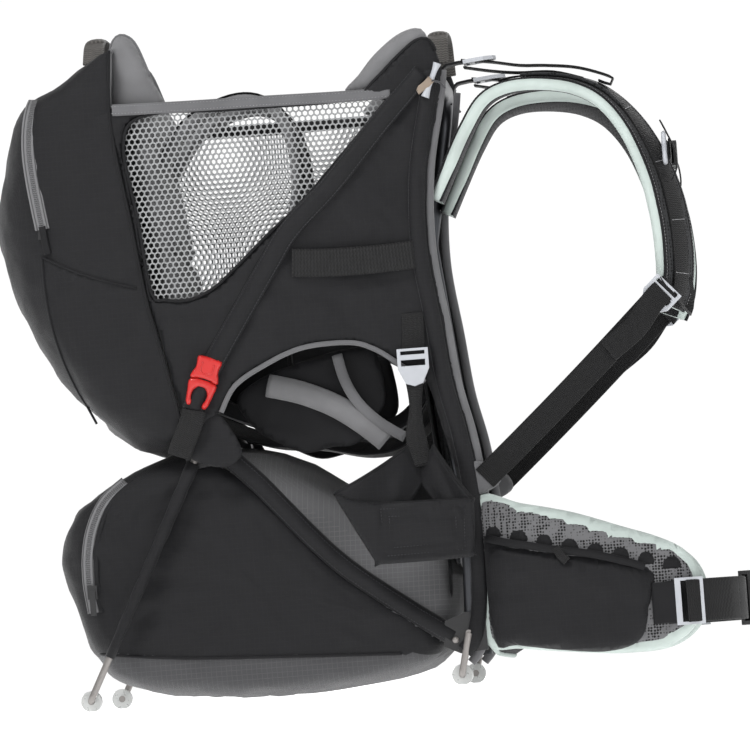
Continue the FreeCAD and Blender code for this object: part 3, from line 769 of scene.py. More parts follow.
# ---------------------------------------------------------------- rear pod
POD_REAR = [(-239, 677), (-253, 677), (-274, 666), (-302, 648), (-329, 637), (-345, 622), (-358, 591),
            (-369, 550), (-376, 514), (-372, 470), (-357, 414), (-329, 357), (-290, 303), (-246, 268),
            (-212, 262), (-190, 279)]
POD_SEAM = [(-239, 677), (-243, 618), (-240, 571), (-230, 503), (-220, 425), (-209, 372),
            (-198, 320), (-190, 279)]
POCKET_SEAMS = [[(-324, 470), (-290, 452), (-262, 441), (-228, 430)],
                [(-324, 470), (-321, 410), (-308, 352), (-284, 296)]]
POD_ZIP = [(-322, 634), (-329, 600), (-329, 560), (-321, 498)]


def make_rear_pod():
    rim = resampled(POD_REAR, 70)
    spine = resampled(POD_SEAM, 70)
    press = crease_along(POCKET_SEAMS, 4.5, 7)
    pod = bulged("rear_pod_shell", rim, spine, WALL_Y, 5.0, nylon, press, ROOT, rows=60, wrinkle=3.0)
    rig.replaces(pod, "rear_pod")
    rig.padded(pod, 0.5)
    tree = tree_of(pod)
    verts = []
    faces = []
    for j in range(13):
        y = WALL_Y * (j / 6 - 1)
        for s in spine:
            verts.append((s.x + 1.5 * noise.noise(Vector((y / 40, s.y / 40, 3))), y, s.y))
    for j in range(12):
        for i in range(69):
            a = j * 70 + i
            faces.append((a, a + 1, a + 71, a + 70))
    add("rear_wall_lining", verts, faces, lining, ROOT)
    for sign, side in SIDES:
        path = [Vector((p.x, sign * (WALL_Y + 0.5), p.y)) for p in spine]
        tube("pod_seam_" + side, path, 2.0, plain_black, ROOT, flatten=0.8)
        for k, seam in enumerate(POCKET_SEAMS):
            line = draped(tree, seam, sign, 0.4)
            tube("pocket_seam_%d_%s" % (k, side), line, 1.3, plain_black, ROOT)
        zip_path = draped(tree, POD_ZIP, sign, 1.6)
        across = [Vector((1, sign * -0.12, 0))] * len(zip_path)
        band = strap("pocket_zip_" + side, zip_path, across, 15, 2.2, zip_grey, ROOT)
        if side == "right":
            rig.replaces(band, "pocket_zip_tape")
        tab = [zip_path[-1] + Vector((0, sign * 1.5, 3)), zip_path[-1] + Vector((2, sign * 3, -14)),
               zip_path[-1] + Vector((4, sign * 2, -26))]
        strap("pocket_zip_end_" + side, smooth(tab, step=3), (1, 0, 0), 7, 2.0, plain_black, ROOT)
    top = [Vector((-239, y, 678)) for y in range(-136, 137, 8)]
    tube("pod_top_binding", top, 2.4, binding, ROOT, across=(1, 0, 0))


make_rear_pod()


# ---------------------------------------------------------------- cockpit walls and mesh windows
WALL = [(-243, 617), (47, 613), (72, 622), (88, 634), (99, 628), (98, 600), (80, 529), (77, 451),
        (86, 372), (92, 310), (103, 258), (110, 205), (112, 154), (111, 92), (108, 78), (91, 78),
        (95, 154), (89, 200), (73, 269), (61, 312), (33, 334), (10, 350), (-15, 358), (-62, 356),
        (-102, 341), (-134, 322), (-150, 298), (-184, 281), (-196, 320), (-207, 372), (-219, 425),
        (-229, 503), (-239, 571)]
CELL = (6.1, 5.4)               # the net's hexagons, across and up
GRAB = [(-66, 443.5), (-30, 441), (20, 441), (60, 443.5)]


def hex_net(name, outline, place, material, body, wire=0.27):
    """An open net of hexagons inside an outline."""
    wide, tall = CELL
    verts, faces, known = [], [], {}

    def point(x, z):
        key = (round(x * 8), round(z * 8))
        if key not in known:
            known[key] = len(verts)
            verts.append(place(x, z, 0.0))
        return known[key]

    xs = [p[0] for p in outline]
    zs = [p[1] for p in outline]
    row = 0
    z = min(zs)
    while z < max(zs):
        x = min(xs) + (wide / 2 if row % 2 else 0)
        while x < max(xs):
            if inside(x, z, outline):
                outer, inner = [], []
                for k in range(6):
                    angle = math.pi / 3 * k + math.pi / 6
                    dx = math.cos(angle) * wide / math.sqrt(3)
                    dz = math.sin(angle) * tall / math.sqrt(3) * 1.155
                    outer.append(point(x + dx, z + dz))
                    inner.append(point(x + dx * (1 - wire), z + dz * (1 - wire)))
                for k in range(6):
                    m = (k + 1) % 6
                    faces.append((outer[k], outer[m], inner[m], inner[k]))
            x += wide
        z += tall
        row += 1
    return add(name, verts, faces, material, body)


def make_wall(sign, side):
    outline = closed_line(WALL, 7)
    hole = closed_line(WINDOW, 6)
    seams = [[tuple(p) for p in smooth(DIAGONAL, step=8)]]
    wall = pillow("cockpit_wall_shell_" + side, outline, 5.5, on_wall(sign, -2.5), nylon, ROOT,
                  edge=7, holes=[hole], channels=seams, ripple=1.6, step=7)
    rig.replaces(wall, "cockpit_wall_" + side)
    net = hex_net("window_net_" + side, hole, on_wall(sign, -3.2), net_cloth, ROOT)
    shell = net.modifiers.new("yarn", "SOLIDIFY")
    shell.thickness = 0.0006
    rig.replaces(net, "mesh_window_" + side)
    rim = wall_path(WINDOW, sign, -0.6, closed=True)
    tube("window_binding_" + side, rim + rim[:1], 2.0, plain_black, ROOT, flatten=0.8)
    top = wall_path([(-240, 615), (-170, 613), (-100, 612), (0, 611), (46, 612)], sign, 0.6)
    strap("rim_band_" + side, top, (0, 0, -sign), 12, 3.2, binding, ROOT, crown=0.8)
    for k in (-3.6, 3.6):
        row = [p + Vector((0, sign * 1.9, k)) for p in top]
        stitches("rim_stitches_%d_%s" % (k > 0, side), row, (0, sign, 0), grey_thread, ROOT)
    arch = wall_path(ARCH[3:], sign, 0.4)
    tube("arch_binding_" + side, arch, 2.6, binding, ROOT)
    sleeve = wall_path(SPINE, sign, 1.0, step=7)
    tube("upright_sleeve_" + side, sleeve, 8.6, nylon, ROOT, across=(1, 0, 0), flatten=0.62)
    for k, (dx, proud) in enumerate(((-8.2, 2.4), (6.0, 3.6))):
        row = wall_path([(x + dx, z) for x, z in SPINE], sign, proud, step=7)
        stitches("sleeve_stitches_%d_%s" % (k, side), row, (0, sign, 0), thread, ROOT)
    piping = [(x + 13, z) for x, z in SPINE[:-2]] + [(99, 40), (86, 22)]
    outer = wall_path(piping, sign, -4, step=6)
    tube("back_piping_" + side, outer, 4.6, binding, ROOT, across=(1, 0, 0), flatten=0.8)
    diagonal = wall_path(DIAGONAL, sign, 1.4, step=6)
    strap("tension_sleeve_" + side, diagonal, (-0.6 * sign, 0, 0.8 * sign), 22, 6.5, nylon, ROOT, crown=2.4)
    for k in (-9.0, -6.6, 9.0):
        row = [p + s * k + Vector((0, sign * 3.6, 0)) for p, s, _ in along(diagonal, (0.6, 0, -0.8))]
        stitches("sleeve_seam_%d_%s" % (k * 10, side), row, (0, sign, 0), thread, ROOT)
    grab = [Vector((x, sign * (wall_y(x) + bow), z))
            for (x, z), bow in zip(smooth(GRAB, step=6), grab_bow(len(smooth(GRAB, step=6))))]
    return strap("grab_handle_" + side, grab, (0, 0, -sign), 29, 1.9, web_grab, ROOT)


def grab_bow(count):
    """How far the webbing handle stands off the wall: sewn flat at both ends, bowed between."""
    return [3.2 + 5.0 * math.sin(math.pi * k / (count - 1)) ** 0.7 for k in range(count)]


HANDLES = [make_wall(sign, side) for sign, side in SIDES]
for handle in HANDLES:
    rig.replaces(handle, "side_grab_webbing")


# ---------------------------------------------------------------- the child's seat
BACKREST = [(-178, 330), (-194, 425), (-205, 503), (-214, 571), (-219, 640)]
EAR = [(-240, 616), (-242, 650), (-241, 679), (-237, 690), (-230, 695), (-221, 692), (-213, 681),
       (-202, 650), (-190, 616)]


def make_backrest():
    outline = [(-100, 326), (100, 326), (114, 345), (114, 480), (104, 600), (86, 638), (-86, 638),
               (-104, 600), (-114, 480), (-114, 345)]
    outline = closed_line(outline, 10)
    channels = [[(-44, 330), (-46, 470), (-38, 560)], [(44, 330), (46, 470), (38, 560)],
                [(-110, 470), (0, 462), (110, 470)], [(-100, 585), (0, 578), (100, 585)]]
    channels = [[tuple(p) for p in smooth(c, step=8)] for c in channels]
    pad = pillow("backrest_cushion", outline, 24, lambda y, z, c: (at_height(BACKREST, z) + c, y, z),
                 lining, ROOT, edge=22, channels=channels, ripple=1.2, step=9)
    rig.replaces(pad, "child_backrest")
    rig.padded(pad, 0.7)


def make_ears():
    for sign, side in SIDES:
        back = 5.5 * (1 + sign)
        outline = [(p[0] - back, p[1] - back * 0.7) for p in smooth(EAR, True, 5)]
        ear = pillow("headrest_wing_" + side, outline, 25,
                     lambda x, z, c, s=sign: (x, s * (120 + c * 0.95), z), lining, ROOT, edge=15, step=5)
        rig.replaces(ear, "headrest_wings")
        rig.padded(ear, 0.8)
        edge = [Vector((p[0] - back, sign * 120, p[1] - back * 0.7)) for p in smooth(EAR[:-1], step=5)]
        tube("headrest_piping_" + side, edge, 1.8, binding, ROOT)
    roll = [(y, 628 + 14 * math.cos(y / 126 * math.pi / 2) ** 0.6) for y in range(-124, 125, 8)]
    path = [Vector((-230, y, z)) for y, z in roll]
    head = sweep("headrest_roll", path, round_section(10, 0.7, 14), (0, 0, 1), lining, ROOT)
    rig.padded(head, 0.7)


def make_collar():
    """The padded collar across the front of the cockpit, with black flaps outside it."""
    cheek = [(0, 617), (14, 634), (32, 654), (56, 672), (76, 678), (86, 672), (90, 652), (84, 630),
             (46, 614)]
    outline = closed_line(cheek, 5)
    for sign, side in SIDES:
        pad = pillow("collar_cheek_" + side, outline, 17,
                     lambda x, z, c, s=sign: (x, s * (121 + c), z), lining, ROOT, edge=12, step=5)
        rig.replaces(pad, "front_collar")
        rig.padded(pad, 0.8)
        flap = [(20, 612), (42, 636), (62, 654), (76, 664), (88, 665), (96, 652), (97, 622), (50, 608)]
        flap = closed_line(flap, 5)
        pillow("collar_flap_" + side, flap, 5,
               lambda x, z, c, s=sign: (x, s * (wall_y(x) + 0.5 + c), z), nylon, ROOT, edge=6,
               ripple=0.8, step=6)
        edge = [Vector((p[0], sign * (wall_y(p[0]) + 1), p[1])) for p in smooth(flap[1:len(flap) // 2],
                                                                                step=5)]
        tube("flap_piping_" + side, edge, 1.5, plain_black, ROOT)
    path = [Vector((64, y, 650 + 3 * math.sin(y / 40))) for y in range(-116, 117, 8)]
    bar = sweep("collar_roll", path, round_section(16, 0.86, 18), (0, 0, 1), lining, ROOT)
    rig.padded(bar, 0.8)
    seam = [p + Vector((-13, 0, 5)) for p in path]
    tube("collar_roll_seam", seam, 1.3, binding, ROOT, across=(1, 0, 0))


SADDLE = [(-186, 318), (-160, 292), (-110, 272), (-60, 266), (-10, 255), (28, 262), (56, 292), (62, 330)]


def make_saddle():
    path = [Vector((x, 0, z)) for x, z in smooth(SADDLE, step=8)]
    count = len(path)

    def section(i):
        t = i / (count - 1)
        half = 50 + 38 * (2 * t - 1) ** 4
        bow = [(half * math.sin(a), 7 * math.cos(a) + 9 * math.sin(a) ** 2) for a in
               (math.pi * (k / 12 - 0.5) for k in range(13))]
        under = [(half * math.sin(a) * 0.97, -3.5 * math.cos(a) + 9 * math.sin(a) ** 2 - 1) for a in
                 (math.pi * (0.5 - k / 12) for k in range(1, 12))]
        return bow + under

    seat = sweep("seat_saddle_pad", path, section, (0, -1, 0), plain_black, ROOT)
    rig.replaces(seat, "seat_saddle")
    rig.padded(seat, 0.6)
    for sign, side in SIDES:
        edge = [Vector((p.x, sign * (50 + 38 * (2 * i / (count - 1) - 1) ** 4), p.z + 9))
                for i, p in enumerate(path)]
        tube("saddle_binding_" + side, edge, 2.6, binding, ROOT)
        flank = [Vector((p.x, sign * (52 + 40 * (2 * i / (count - 1) - 1) ** 4), p.z + 16))
                 for i, p in enumerate(path)]
        strap("saddle_edge_" + side, flank, (0, 0.35, 1), 16, 4, plain_black, ROOT)


SEAT_SIDE = [(-138, 310), (-112, 330), (-77, 342), (-24, 354), (6, 352), (14, 330), (16, 300), (8, 284),
             (-4, 264), (-22, 254), (-40, 254), (-70, 250), (-98, 262), (-122, 280)]


def beside_seat(points, sign, step=7.0):
    """A smooth line through points of X, distance from the middle, and Z."""
    xs, ys = [p[0] for p in points], [p[1] for p in points]
    flat = smooth([(p[0], p[2]) for p in points], step=step)
    return [Vector((q[0], sign * float(np.interp(q[0], xs, ys)), q[1])) for q in flat]


def make_seat_sides():
    """The black cloth sides of the child's seat, with grey bands where the legs come out."""
    outline = closed_line(SEAT_SIDE, 6)
    for sign, side in SIDES:
        flank = pillow("seat_side_" + side, outline, 7, lambda x, z, c, s=sign: (x, s * (100 + c), z),
                       plain_black, ROOT, edge=8, ripple=1.4, step=7)
        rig.padded(flank, 0.5)
        band = beside_seat([(-104, 106, 322), (-70, 109, 312), (-36, 109, 296), (-8, 108, 276),
                            (14, 104, 256)], sign)
        pad = strap("leg_band_" + side, band, (0.45 * -sign, 0, 0.9 * -sign), 24, 7, lining, ROOT,
                    crown=2.5)
        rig.padded(pad, 0.6)
        trim = beside_seat([(-30, 112, 348), (-24, 114, 322), (-12, 114, 298), (8, 111, 276),
                            (34, 108, 258)], sign)
        strap("leg_trim_" + side, trim, (0.8 * -sign, 0, 0.4 * -sign), 11, 3.4, binding, ROOT, crown=0.8)


def make_harness():
    line = [(-200, 560), (-172, 600), (-132, 620), (-100, 621), (-76, 602), (-64, 562), (-66, 514),
            (-84, 466)]
    for sign, side in SIDES:
        path = [Vector((x, sign * (57 - 12 * i / 60), z)) for i, (x, z) in enumerate(smooth(line, step=7))]
        pad = strap("harness_pad_" + side, path[:-4], (0, 1, 0), 40, 9, lining, ROOT, crown=3)
        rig.replaces(pad, "harness_straps")
        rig.padded(pad, 0.7)
        over = [p + n * 8.5 for p, _, n in along(path, (0, 1, 0))]
        strap("harness_web_" + side, over, (0, 1, 0), 19, 1.6, web_black, ROOT)
    shape = closed_line([(-24, 440), (24, 440), (27, 452), (20, 464), (-20, 464), (-27, 452)], 3)
    buckle = pillow("harness_buckle_case", shape, 12, lambda y, z, c: (-84 + c, y, z), black_plastic, ROOT,
                    edge=5, step=5)
    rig.replaces(buckle, "harness_buckle")
    button = closed_line([(-7, 445), (7, 445), (7, 458), (-7, 458)], 2)
    pillow("harness_buckle_button", button, 5, lambda y, z, c: (-77 + c, y, z), white, ROOT, edge=2, step=4)
    crotch = [Vector(p) for p in ((-84, 0, 442), (-88, 0, 390), (-87, 0, 330), (-80, 0, 276))]
    strap("crotch_strap", smooth(crotch, step=8), (0, 1, 0), 26, 4, web_black, ROOT)


make_backrest()
make_ears()
make_collar()
make_saddle()
make_seat_sides()
make_harness()


# ---------------------------------------------------------------- storage compartment
BAG_SIDE = [(-190, 262), (-150, 240), (-116, 213), (-54, 136), (14, 80), (58, 52), (54, 26), (5, 15),
            (-59, 9), (-133, 6), (-191, 9), (-248, 19), (-286, 35), (-304, 60), (-315, 90),
            (-325, 135), (-327, 165), (-318, 192), (-296, 216), (-250, 245), (-190, 262)]
BAG_MIDDLE = [(-190, 260), (-150, 262), (-100, 255), (-22, 212), (40, 186), (73, 164), (73, 62),
              (40, 20), (-59, 4), (-133, 3), (-191, 5), (-248, 14), (-290, 32), (-309, 60),
              (-320, 90), (-331, 135), (-334, 165), (-325, 194), (-304, 220), (-254, 246),
              (-190, 260)]
BAG_CENTRE = Vector((-130, 118))
BAG_SEAM = [(-296, 58), (-211, 48), (-88, 41), (15, 36), (60, 32)]
BAG_FOLDS = [[(-176, 246), (-215, 170), (-262, 96), (-296, 52)], [(-10, 84), (-30, 70), (-34, 56)],
             [(-190, 236), (-255, 200), (-300, 150)]]
BAG_ZIP = [(-258, 234), (-282, 213), (-297, 180), (-302, 140), (-299, 101)]
BAG_START, BAG_END = (0.06, 0, 0.1), (-0.25, 0, 0.1)
STAND = "kickstand"


def matched(outline, pieces=5):
    """Points between an outline's corners, the same number for each side whatever its length."""
    pts = [Vector(p) for p in outline]
    ring = pts[:-1]
    count = len(ring)
    out = []
    for i in range(count):
        a, b, c, d = (ring[(i + k) % count] for k in (-1, 0, 1, 2))
        for j in range(pieces):
            t = j / pieces
            cubic = (3 * b - a - 3 * c + d) * t ** 3
            out.append(0.5 * (2 * b + (c - a) * t + (2 * a - 5 * b + 4 * c - d) * t * t + cubic))
    out.append(out[0].copy())
    return out


def folds_with(obj):
    """Lets a piece of the storage compartment fold up with the kickstand."""
    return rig.blend(obj, ROOT, STAND, BAG_START, BAG_END)


def make_bag():
    side = matched(BAG_SIDE)
    mid = matched(BAG_MIDDLE)
    spine = [BAG_CENTRE.lerp(p, 0.002) for p in side]
    press = crease_along(BAG_FOLDS, 3.5, 9)
    bag = bulged("storage_compartment", side, spine, BAG_Y, 9.0, nylon, press, None, rows=72,
                 wrinkle=3.2, middle=mid)
    bm = bmesh.new()
    bm.from_mesh(bag.data)
    bmesh.ops.remove_doubles(bm, verts=bm.verts, dist=0.0001)
    bm.to_mesh(bag.data)
    bm.free()
    bag.data.materials.append(top_cloth)
    bag.data.materials.append(base_cloth)
    for face in bag.data.polygons:
        x, y, z = (c / MM for c in face.center)
        seam = np.interp(x, [p[0] for p in BAG_SEAM], [p[1] for p in BAG_SEAM])
        roof = np.interp(x, [-184, -150, -116, -54, 14, 58], [256, 238, 211, 134, 78, 48])
        if z < seam and x > -300:
            face.material_index = 2
        elif x > -175 and z > roof - 1 and abs(y) < BAG_Y - 2:
            face.material_index = 1
    low = min(v.co.z for v in bag.data.vertices)
    for v in bag.data.vertices:
        v.co.z = max(v.co.z, 0.0012 if low < 0.0012 else v.co.z)
    tree = tree_of(bag)
    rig.replaces(bag, "storage_bag")
    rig.padded(bag, 0.3)
    folds_with(bag)
    for sign, name in SIDES:
        folds_with(tube("base_seam_" + name, draped(tree, BAG_SEAM[:-1], sign, 0.3), 1.6, plain_black,
                        None))
        path = draped(tree, BAG_ZIP, sign, 1.2)
        band = strap("storage_zip_" + name, path, (1, 0, 0.2), 13, 2.0, zip_grey, STAND)
        if name == "right":
            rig.replaces(band, "storage_zip_tape")
        strap("zip_flap_" + name, [p + Vector((9, sign * 0.6, 0)) for p in path], (1, 0, 0.2),
              6, 2.4, nylon, STAND, crown=0.8)


make_bag()


def make_frame_sleeves():
    """The black cloth sleeves over the seat tubes, and the ones over the kickstand's legs."""
    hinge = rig.box("hinge_bushes")
    hx = (hinge[0].x + hinge[1].x) / 2 / MM
    hz = (hinge[0].z + hinge[1].z) / 2 / MM
    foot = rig.box("kickstand_feet")
    fx = (foot[0].x + foot[1].x) / 2 / MM
    fz = foot[1].z / MM
    for sign, side in SIDES:
        path = [Vector((x, sign * (SEAT_Y + 2), z)) for x, z in smooth(SEAT_TUBE, step=7)]
        tube("seat_sleeve_" + side, path, 10.5, nylon, ROOT, flatten=1.0)
        for k, (dx, dy) in enumerate(((-7.5, 7.4), (7.0, 7.8))):
            row = [p + Vector((dx * 0.75, sign * dy, dx * 0.65)) for p in path]
            stitches("seat_seam_%d_%s" % (k, side), row, (0, sign, 0), thread, ROOT)
        leg = []
        for k in range(18):
            t = 0.03 + 0.79 * k / 17
            leg.append(Vector((hx + (fx - hx) * t, sign * (137 + 9 * t), hz + (fz - 11 - hz) * t)))
        tube("leg_sleeve_" + side, leg, lambda t: 5.4 + 2.2 * (1 - t) + 0.5 * math.sin(t * 40),
             nylon, STAND, flatten=0.9)
        gusset = [(-192, 282), (-196, 262), (-176, 246), (-150, 240), (-132, 252), (-140, 276), (-158, 296)]
        gusset = closed_line(gusset, 5)
        pillow("hinge_gusset_" + side, gusset, 5, lambda x, z, c, s=sign: (x, s * (147.6 + c * 0.6), z),
               nylon, ROOT, edge=7, ripple=0.7, step=6)


make_frame_sleeves()


# ---------------------------------------------------------------- shoulder straps
STRAP_LINE = [(84, 500), (102, 536), (121, 572), (140, 599), (165, 611), (199, 613), (235, 607),
              (265, 591), (291, 559), (311, 514), (321, 472), (324, 430), (321, 396), (312, 374)]
STRAP_Y = 97                    # the straps' half-spacing
STRAP_TWIST = (0, 0, 2, 5, 10, 18, 27, 34, 35, 32)   # how far each stretch turns out, in degrees
LIFTER = [(122, 637), (150, 631), (178, 627), (214, 625), (244, 616)]


def strap_frame(sign):
    """The strap's middle line and its direction of width, twisted outwards as it comes down."""
    flat = smooth(STRAP_LINE, step=6)
    path = [Vector((x, sign * STRAP_Y, z)) for x, z in flat]
    across = []
    last = len(path) - 1
    for i in range(len(path)):
        ahead = (path[min(i + 1, last)] - path[max(i - 1, 0)]).normalized()
        turn = math.radians(float(np.interp(i / last * 9, range(10), STRAP_TWIST)))
        side = Vector((0, sign, 0))
        across.append(Matrix.Rotation(-sign * turn, 3, ahead) @ side)
    return path, across


def make_shoulder_strap(sign, side):
    """The foam with its mint edge, the spacer cover and lining, bindings, webbing and bar tacks."""
    path, across = strap_frame(sign)
    rows = along(path, across)
    out = [1 if n.dot(Vector((0.3, 0, 1))) > 0 else -1 for _, _, n in rows]
    flip = out[len(out) // 2]
    width = 60

    def core_section(i):
        t = i / (len(path) - 1)
        w = width * (1 - 0.16 * max(0, (t - 0.8) / 0.2) ** 2) * (1 - 0.2 * max(0, (0.1 - t) / 0.1))
        return strap_section(w, 12.5, 1.2)

    foam = sweep("shoulder_foam_" + side, path, core_section, across, mint, ROOT)
    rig.replaces(foam, "shoulder_strap_" + side)
    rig.padded(foam, 0.8)
    outer = [p + n * flip * 5.6 for p, _, n in rows]
    cover = strap("shoulder_cover_" + side, outer, across, 46, 3.4, spacer_grey, ROOT, crown=1.0)
    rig.padded(cover, 0.7)
    inner = [p - n * flip * 5.4 for p, _, n in rows]
    strap("shoulder_lining_" + side, inner, across, 46, 3.4, spacer_black, ROOT, crown=0.8)
    for k in (-1, 1):
        bind = [p + s * (k * 23.5) + n * flip * 6.0 for p, s, n in rows]
        strap("shoulder_binding_%d_%s" % (k > 0, side), bind, across, 5, 2.6, plain_black, ROOT)
        row = [p + s * (k * 23.5) + n * flip * 7.6 for p, s, n in rows]
        stitches("shoulder_stitches_%d_%s" % (k > 0, side), row, (1, 0, 0), grey_thread, ROOT)
    start = int(len(path) * 0.3)
    web = [p + n * flip * (8.8 + 0.7 * math.sin(i / 3)) for i, (p, _, n) in enumerate(rows)][start:]
    strap("shoulder_web_" + side, web, across[start:], 25, 1.8, web_black, ROOT)
    for t in (0.36, 0.47, 0.58, 0.7, 0.82, 0.93):
        i = int(t * (len(path) - 1))
        p, s, n = rows[i]
        tack = [p + s * k + n * flip * 10.3 for k in (-11, 0, 11)]
        stitches("bar_tack_%d_%s" % (t * 100, side), tack, n * flip, grey_thread, ROOT, pitch=1.2, long=1.1,
                 radius=0.45)
    make_lower_webbing(sign, side, rows, flip)
    make_lifter(sign, side)


def make_lower_webbing(sign, side, rows, flip):
    """The short loop from the foam's end to the ladder lock, and the webbing down to the frame."""
    lo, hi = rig.box("shoulder_ladder_lock_" + side)
    lock = Vector(((lo.x + hi.x) / 2, sign * (abs(lo.y) + abs(hi.y)) / 2, (lo.z + hi.z) / 2)) / MM
    lo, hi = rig.box("shoulder_webbing_" + side)
    foot = Vector((lo.x / MM + 9, (lo.y + hi.y) / 2 / MM, lo.z / MM + 9))
    top = lock + Vector((3, -sign * 3.4, 3))
    drop = [top.lerp(foot, k / 30) for k in range(31)]
    for k, p in enumerate(drop):
        p.z -= 2.5 * math.sin(math.pi * k / 30)
    d = (foot - top).normalized()
    across = Vector((-d.z, 0, d.x))
    band = strap("lower_webbing_" + side, drop, across, 26, 1.9, web_black, ROOT)
    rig.replaces(band, "shoulder_webbing_" + side)
    tail = [lock + Vector((2, sign * 2.6, 2)), lock + d * 14 + Vector((0, sign * 4.5, 0)),
            lock + d * 44 + Vector((3, sign * 3.5, -4)), lock + d * 78 + Vector((-1, sign * 1.5, -3))]
    strap("lower_webbing_tail_" + side, smooth(tail, step=5), across, 25, 1.7, web_black, ROOT)
    end, s, n = rows[-6]
    loop = [end + n * flip * 6 + s * sign * 10, rows[-1][0] + n * flip * 7 + s * sign * 20,
            lock - d * 9 + Vector((0, sign * 1.5, 0)), lock - d * 3 + Vector((0, -sign * 3.0, 0)),
            lock - d * 12 + Vector((2, -sign * 4.0, 0))]
    route = smooth(loop, step=5)
    turn = [(s * sign).lerp(across, min(1.0, 2 * i / len(route))) for i in range(len(route))]
    strap("lock_loop_" + side, route, turn, 25, 1.8, web_black, ROOT)
    patch = closed_line([(98, 226), (122, 222), (130, 205), (112, 194), (98, 196)], 5)
    pillow("webbing_gusset_" + side, patch, 4, lambda x, z, c: (x, foot.y + sign * (-2.4 + c), z),
           binding, ROOT,
           edge=5, step=5)


def make_lifter(sign, side):
    """The strap from the frame's top, through its ladder lock, to a patch on the shoulder."""
    path = at_side(LIFTER, sign * STRAP_Y, 6)
    web = strap("load_lifter_" + side, [p + Vector((0, 0, -1.5)) for p in path], (0, 1, 0), 20, 1.7,
                web_black, ROOT)
    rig.replaces(web, "load_lifter_webbing")
    tail = [(120, 643), (150, 639), (180, 633), (205, 631), (235, 627), (258, 620), (275, 612), (272, 606),
            (260, 611)]
    over = at_side(tail, sign * STRAP_Y, 6)
    strap("load_lifter_tail_" + side, over, (0, 1, 0), 19.5, 1.7, web_black, ROOT)
    anchor = at_side([(96, 616), (101, 636), (112, 640), (122, 641)], sign * STRAP_Y, 4)
    strap("lifter_anchor_" + side, anchor, (0, 1, 0), 21, 2.6, plain_black, ROOT)
    bridge = at_side([(180, 622), (206, 621), (236, 615), (262, 602), (280, 584)], sign * STRAP_Y, 5)
    cloth_patch = strap("lifter_patch_" + side, bridge, (0, 1, 0), 34, 3.2, spacer_grey, ROOT, crown=0.8)
    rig.padded(cloth_patch, 0.5)


for SIGN, SIDE in SIDES:
    make_shoulder_strap(SIGN, SIDE)


# ---------------------------------------------------------------- chest strap
def make_chest_strap():
    """The chest webbing, its two sliders with their loops, and the buckle's socket."""
    lo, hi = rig.box("sternum_strap")
    x = (lo.x / MM + hi.x / MM) / 2 + 2.5
    z = (lo.z + hi.z) / 2 / MM
    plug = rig.box("sternum_buckle_plug")
    near, far = plug[0].y / MM + 8, plug[1].y / MM + 8
    band = strap("chest_webbing_right", [Vector((x - 2, y, z)) for y in np.linspace(-104, near, 12)],
                 (0, 0, 1), 20, 1.7, web_black, "chest_strap")
    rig.replaces(band, "sternum_strap")
    strap("chest_webbing_left", [Vector((x - 2, y, z)) for y in np.linspace(far, 104, 12)],
          (0, 0, 1), 20, 1.7, web_black, "chest_strap")
    for sign, side in SIDES:
        shape = closed_line([(-13, 16), (13, 16), (16, 0), (13, -16), (-13, -16), (-16, 0)], 3)
        slider = pillow("chest_slider_" + side, shape, 6,
                        lambda b, c, h, s=sign: (x - 7 + h * 0.8, s * (107 + b * 0.62), z + c), white,
                        "chest_strap",
                        edge=3, step=4)
        bevel(slider, 0.6)
        loop = [Vector((x - 9, sign * 104, z + 28)), Vector((x - 3, sign * 108, z + 14)),
                Vector((x + 3, sign * 110, z - 2)), Vector((x + 4, sign * 110, z - 22)),
                Vector((x - 2, sign * 108, z - 34))]
        strap("chest_loop_" + side, smooth(loop, step=4), (0, 1, 0.1), 11, 1.7, web_black, "chest_strap")
    case = closed_line([(-3, 12.6), (14, 13), (22, 8), (22, -8), (14, -13), (-3, -12.6)], 3)
    pillow("chest_buckle_socket", case, 9.6, lambda y, c, h: (x - 2 + h, y, z + c), black_plastic,
           "chest_strap",
           edge=2.5, step=3)


make_chest_strap()


# ---------------------------------------------------------------- hip belt
WING = [(103, 190), (151, 180), (202, 167), (251, 149), (286, 136), (311, 122), (325, 103), (329, 80),
        (325, 54), (309, 34), (282, 22), (242, 20), (191, 25), (140, 32), (103, 40), (100, 110)]
WING_PLAN = [(100, 121), (118, 128), (150, 143), (200, 151), (250, 152), (296, 148), (332, 139)]
POCKET = [(112, 152), (130, 141), (166, 131), (226, 119), (268, 108), (280, 96), (274, 70), (262, 34),
          (229, 23), (180, 28), (138, 36), (114, 44)]


def wing_y(x):
    return float(np.interp(x, [p[0] for p in WING_PLAN], [p[1] for p in WING_PLAN]))


def wing_slope(x):
    return (wing_y(x + 4) - wing_y(x - 4)) / 8


def on_wing(sign, proud=0.0):
    """Places flat shapes of X and Z on the outside of a hip wing."""
    def place(x, z, c):
        m = wing_slope(x)
        k = 1 / math.sqrt(1 + m * m)
        return (x - m * k * (proud + c), sign * (wing_y(x) + k * (proud + c)), z)
    return place


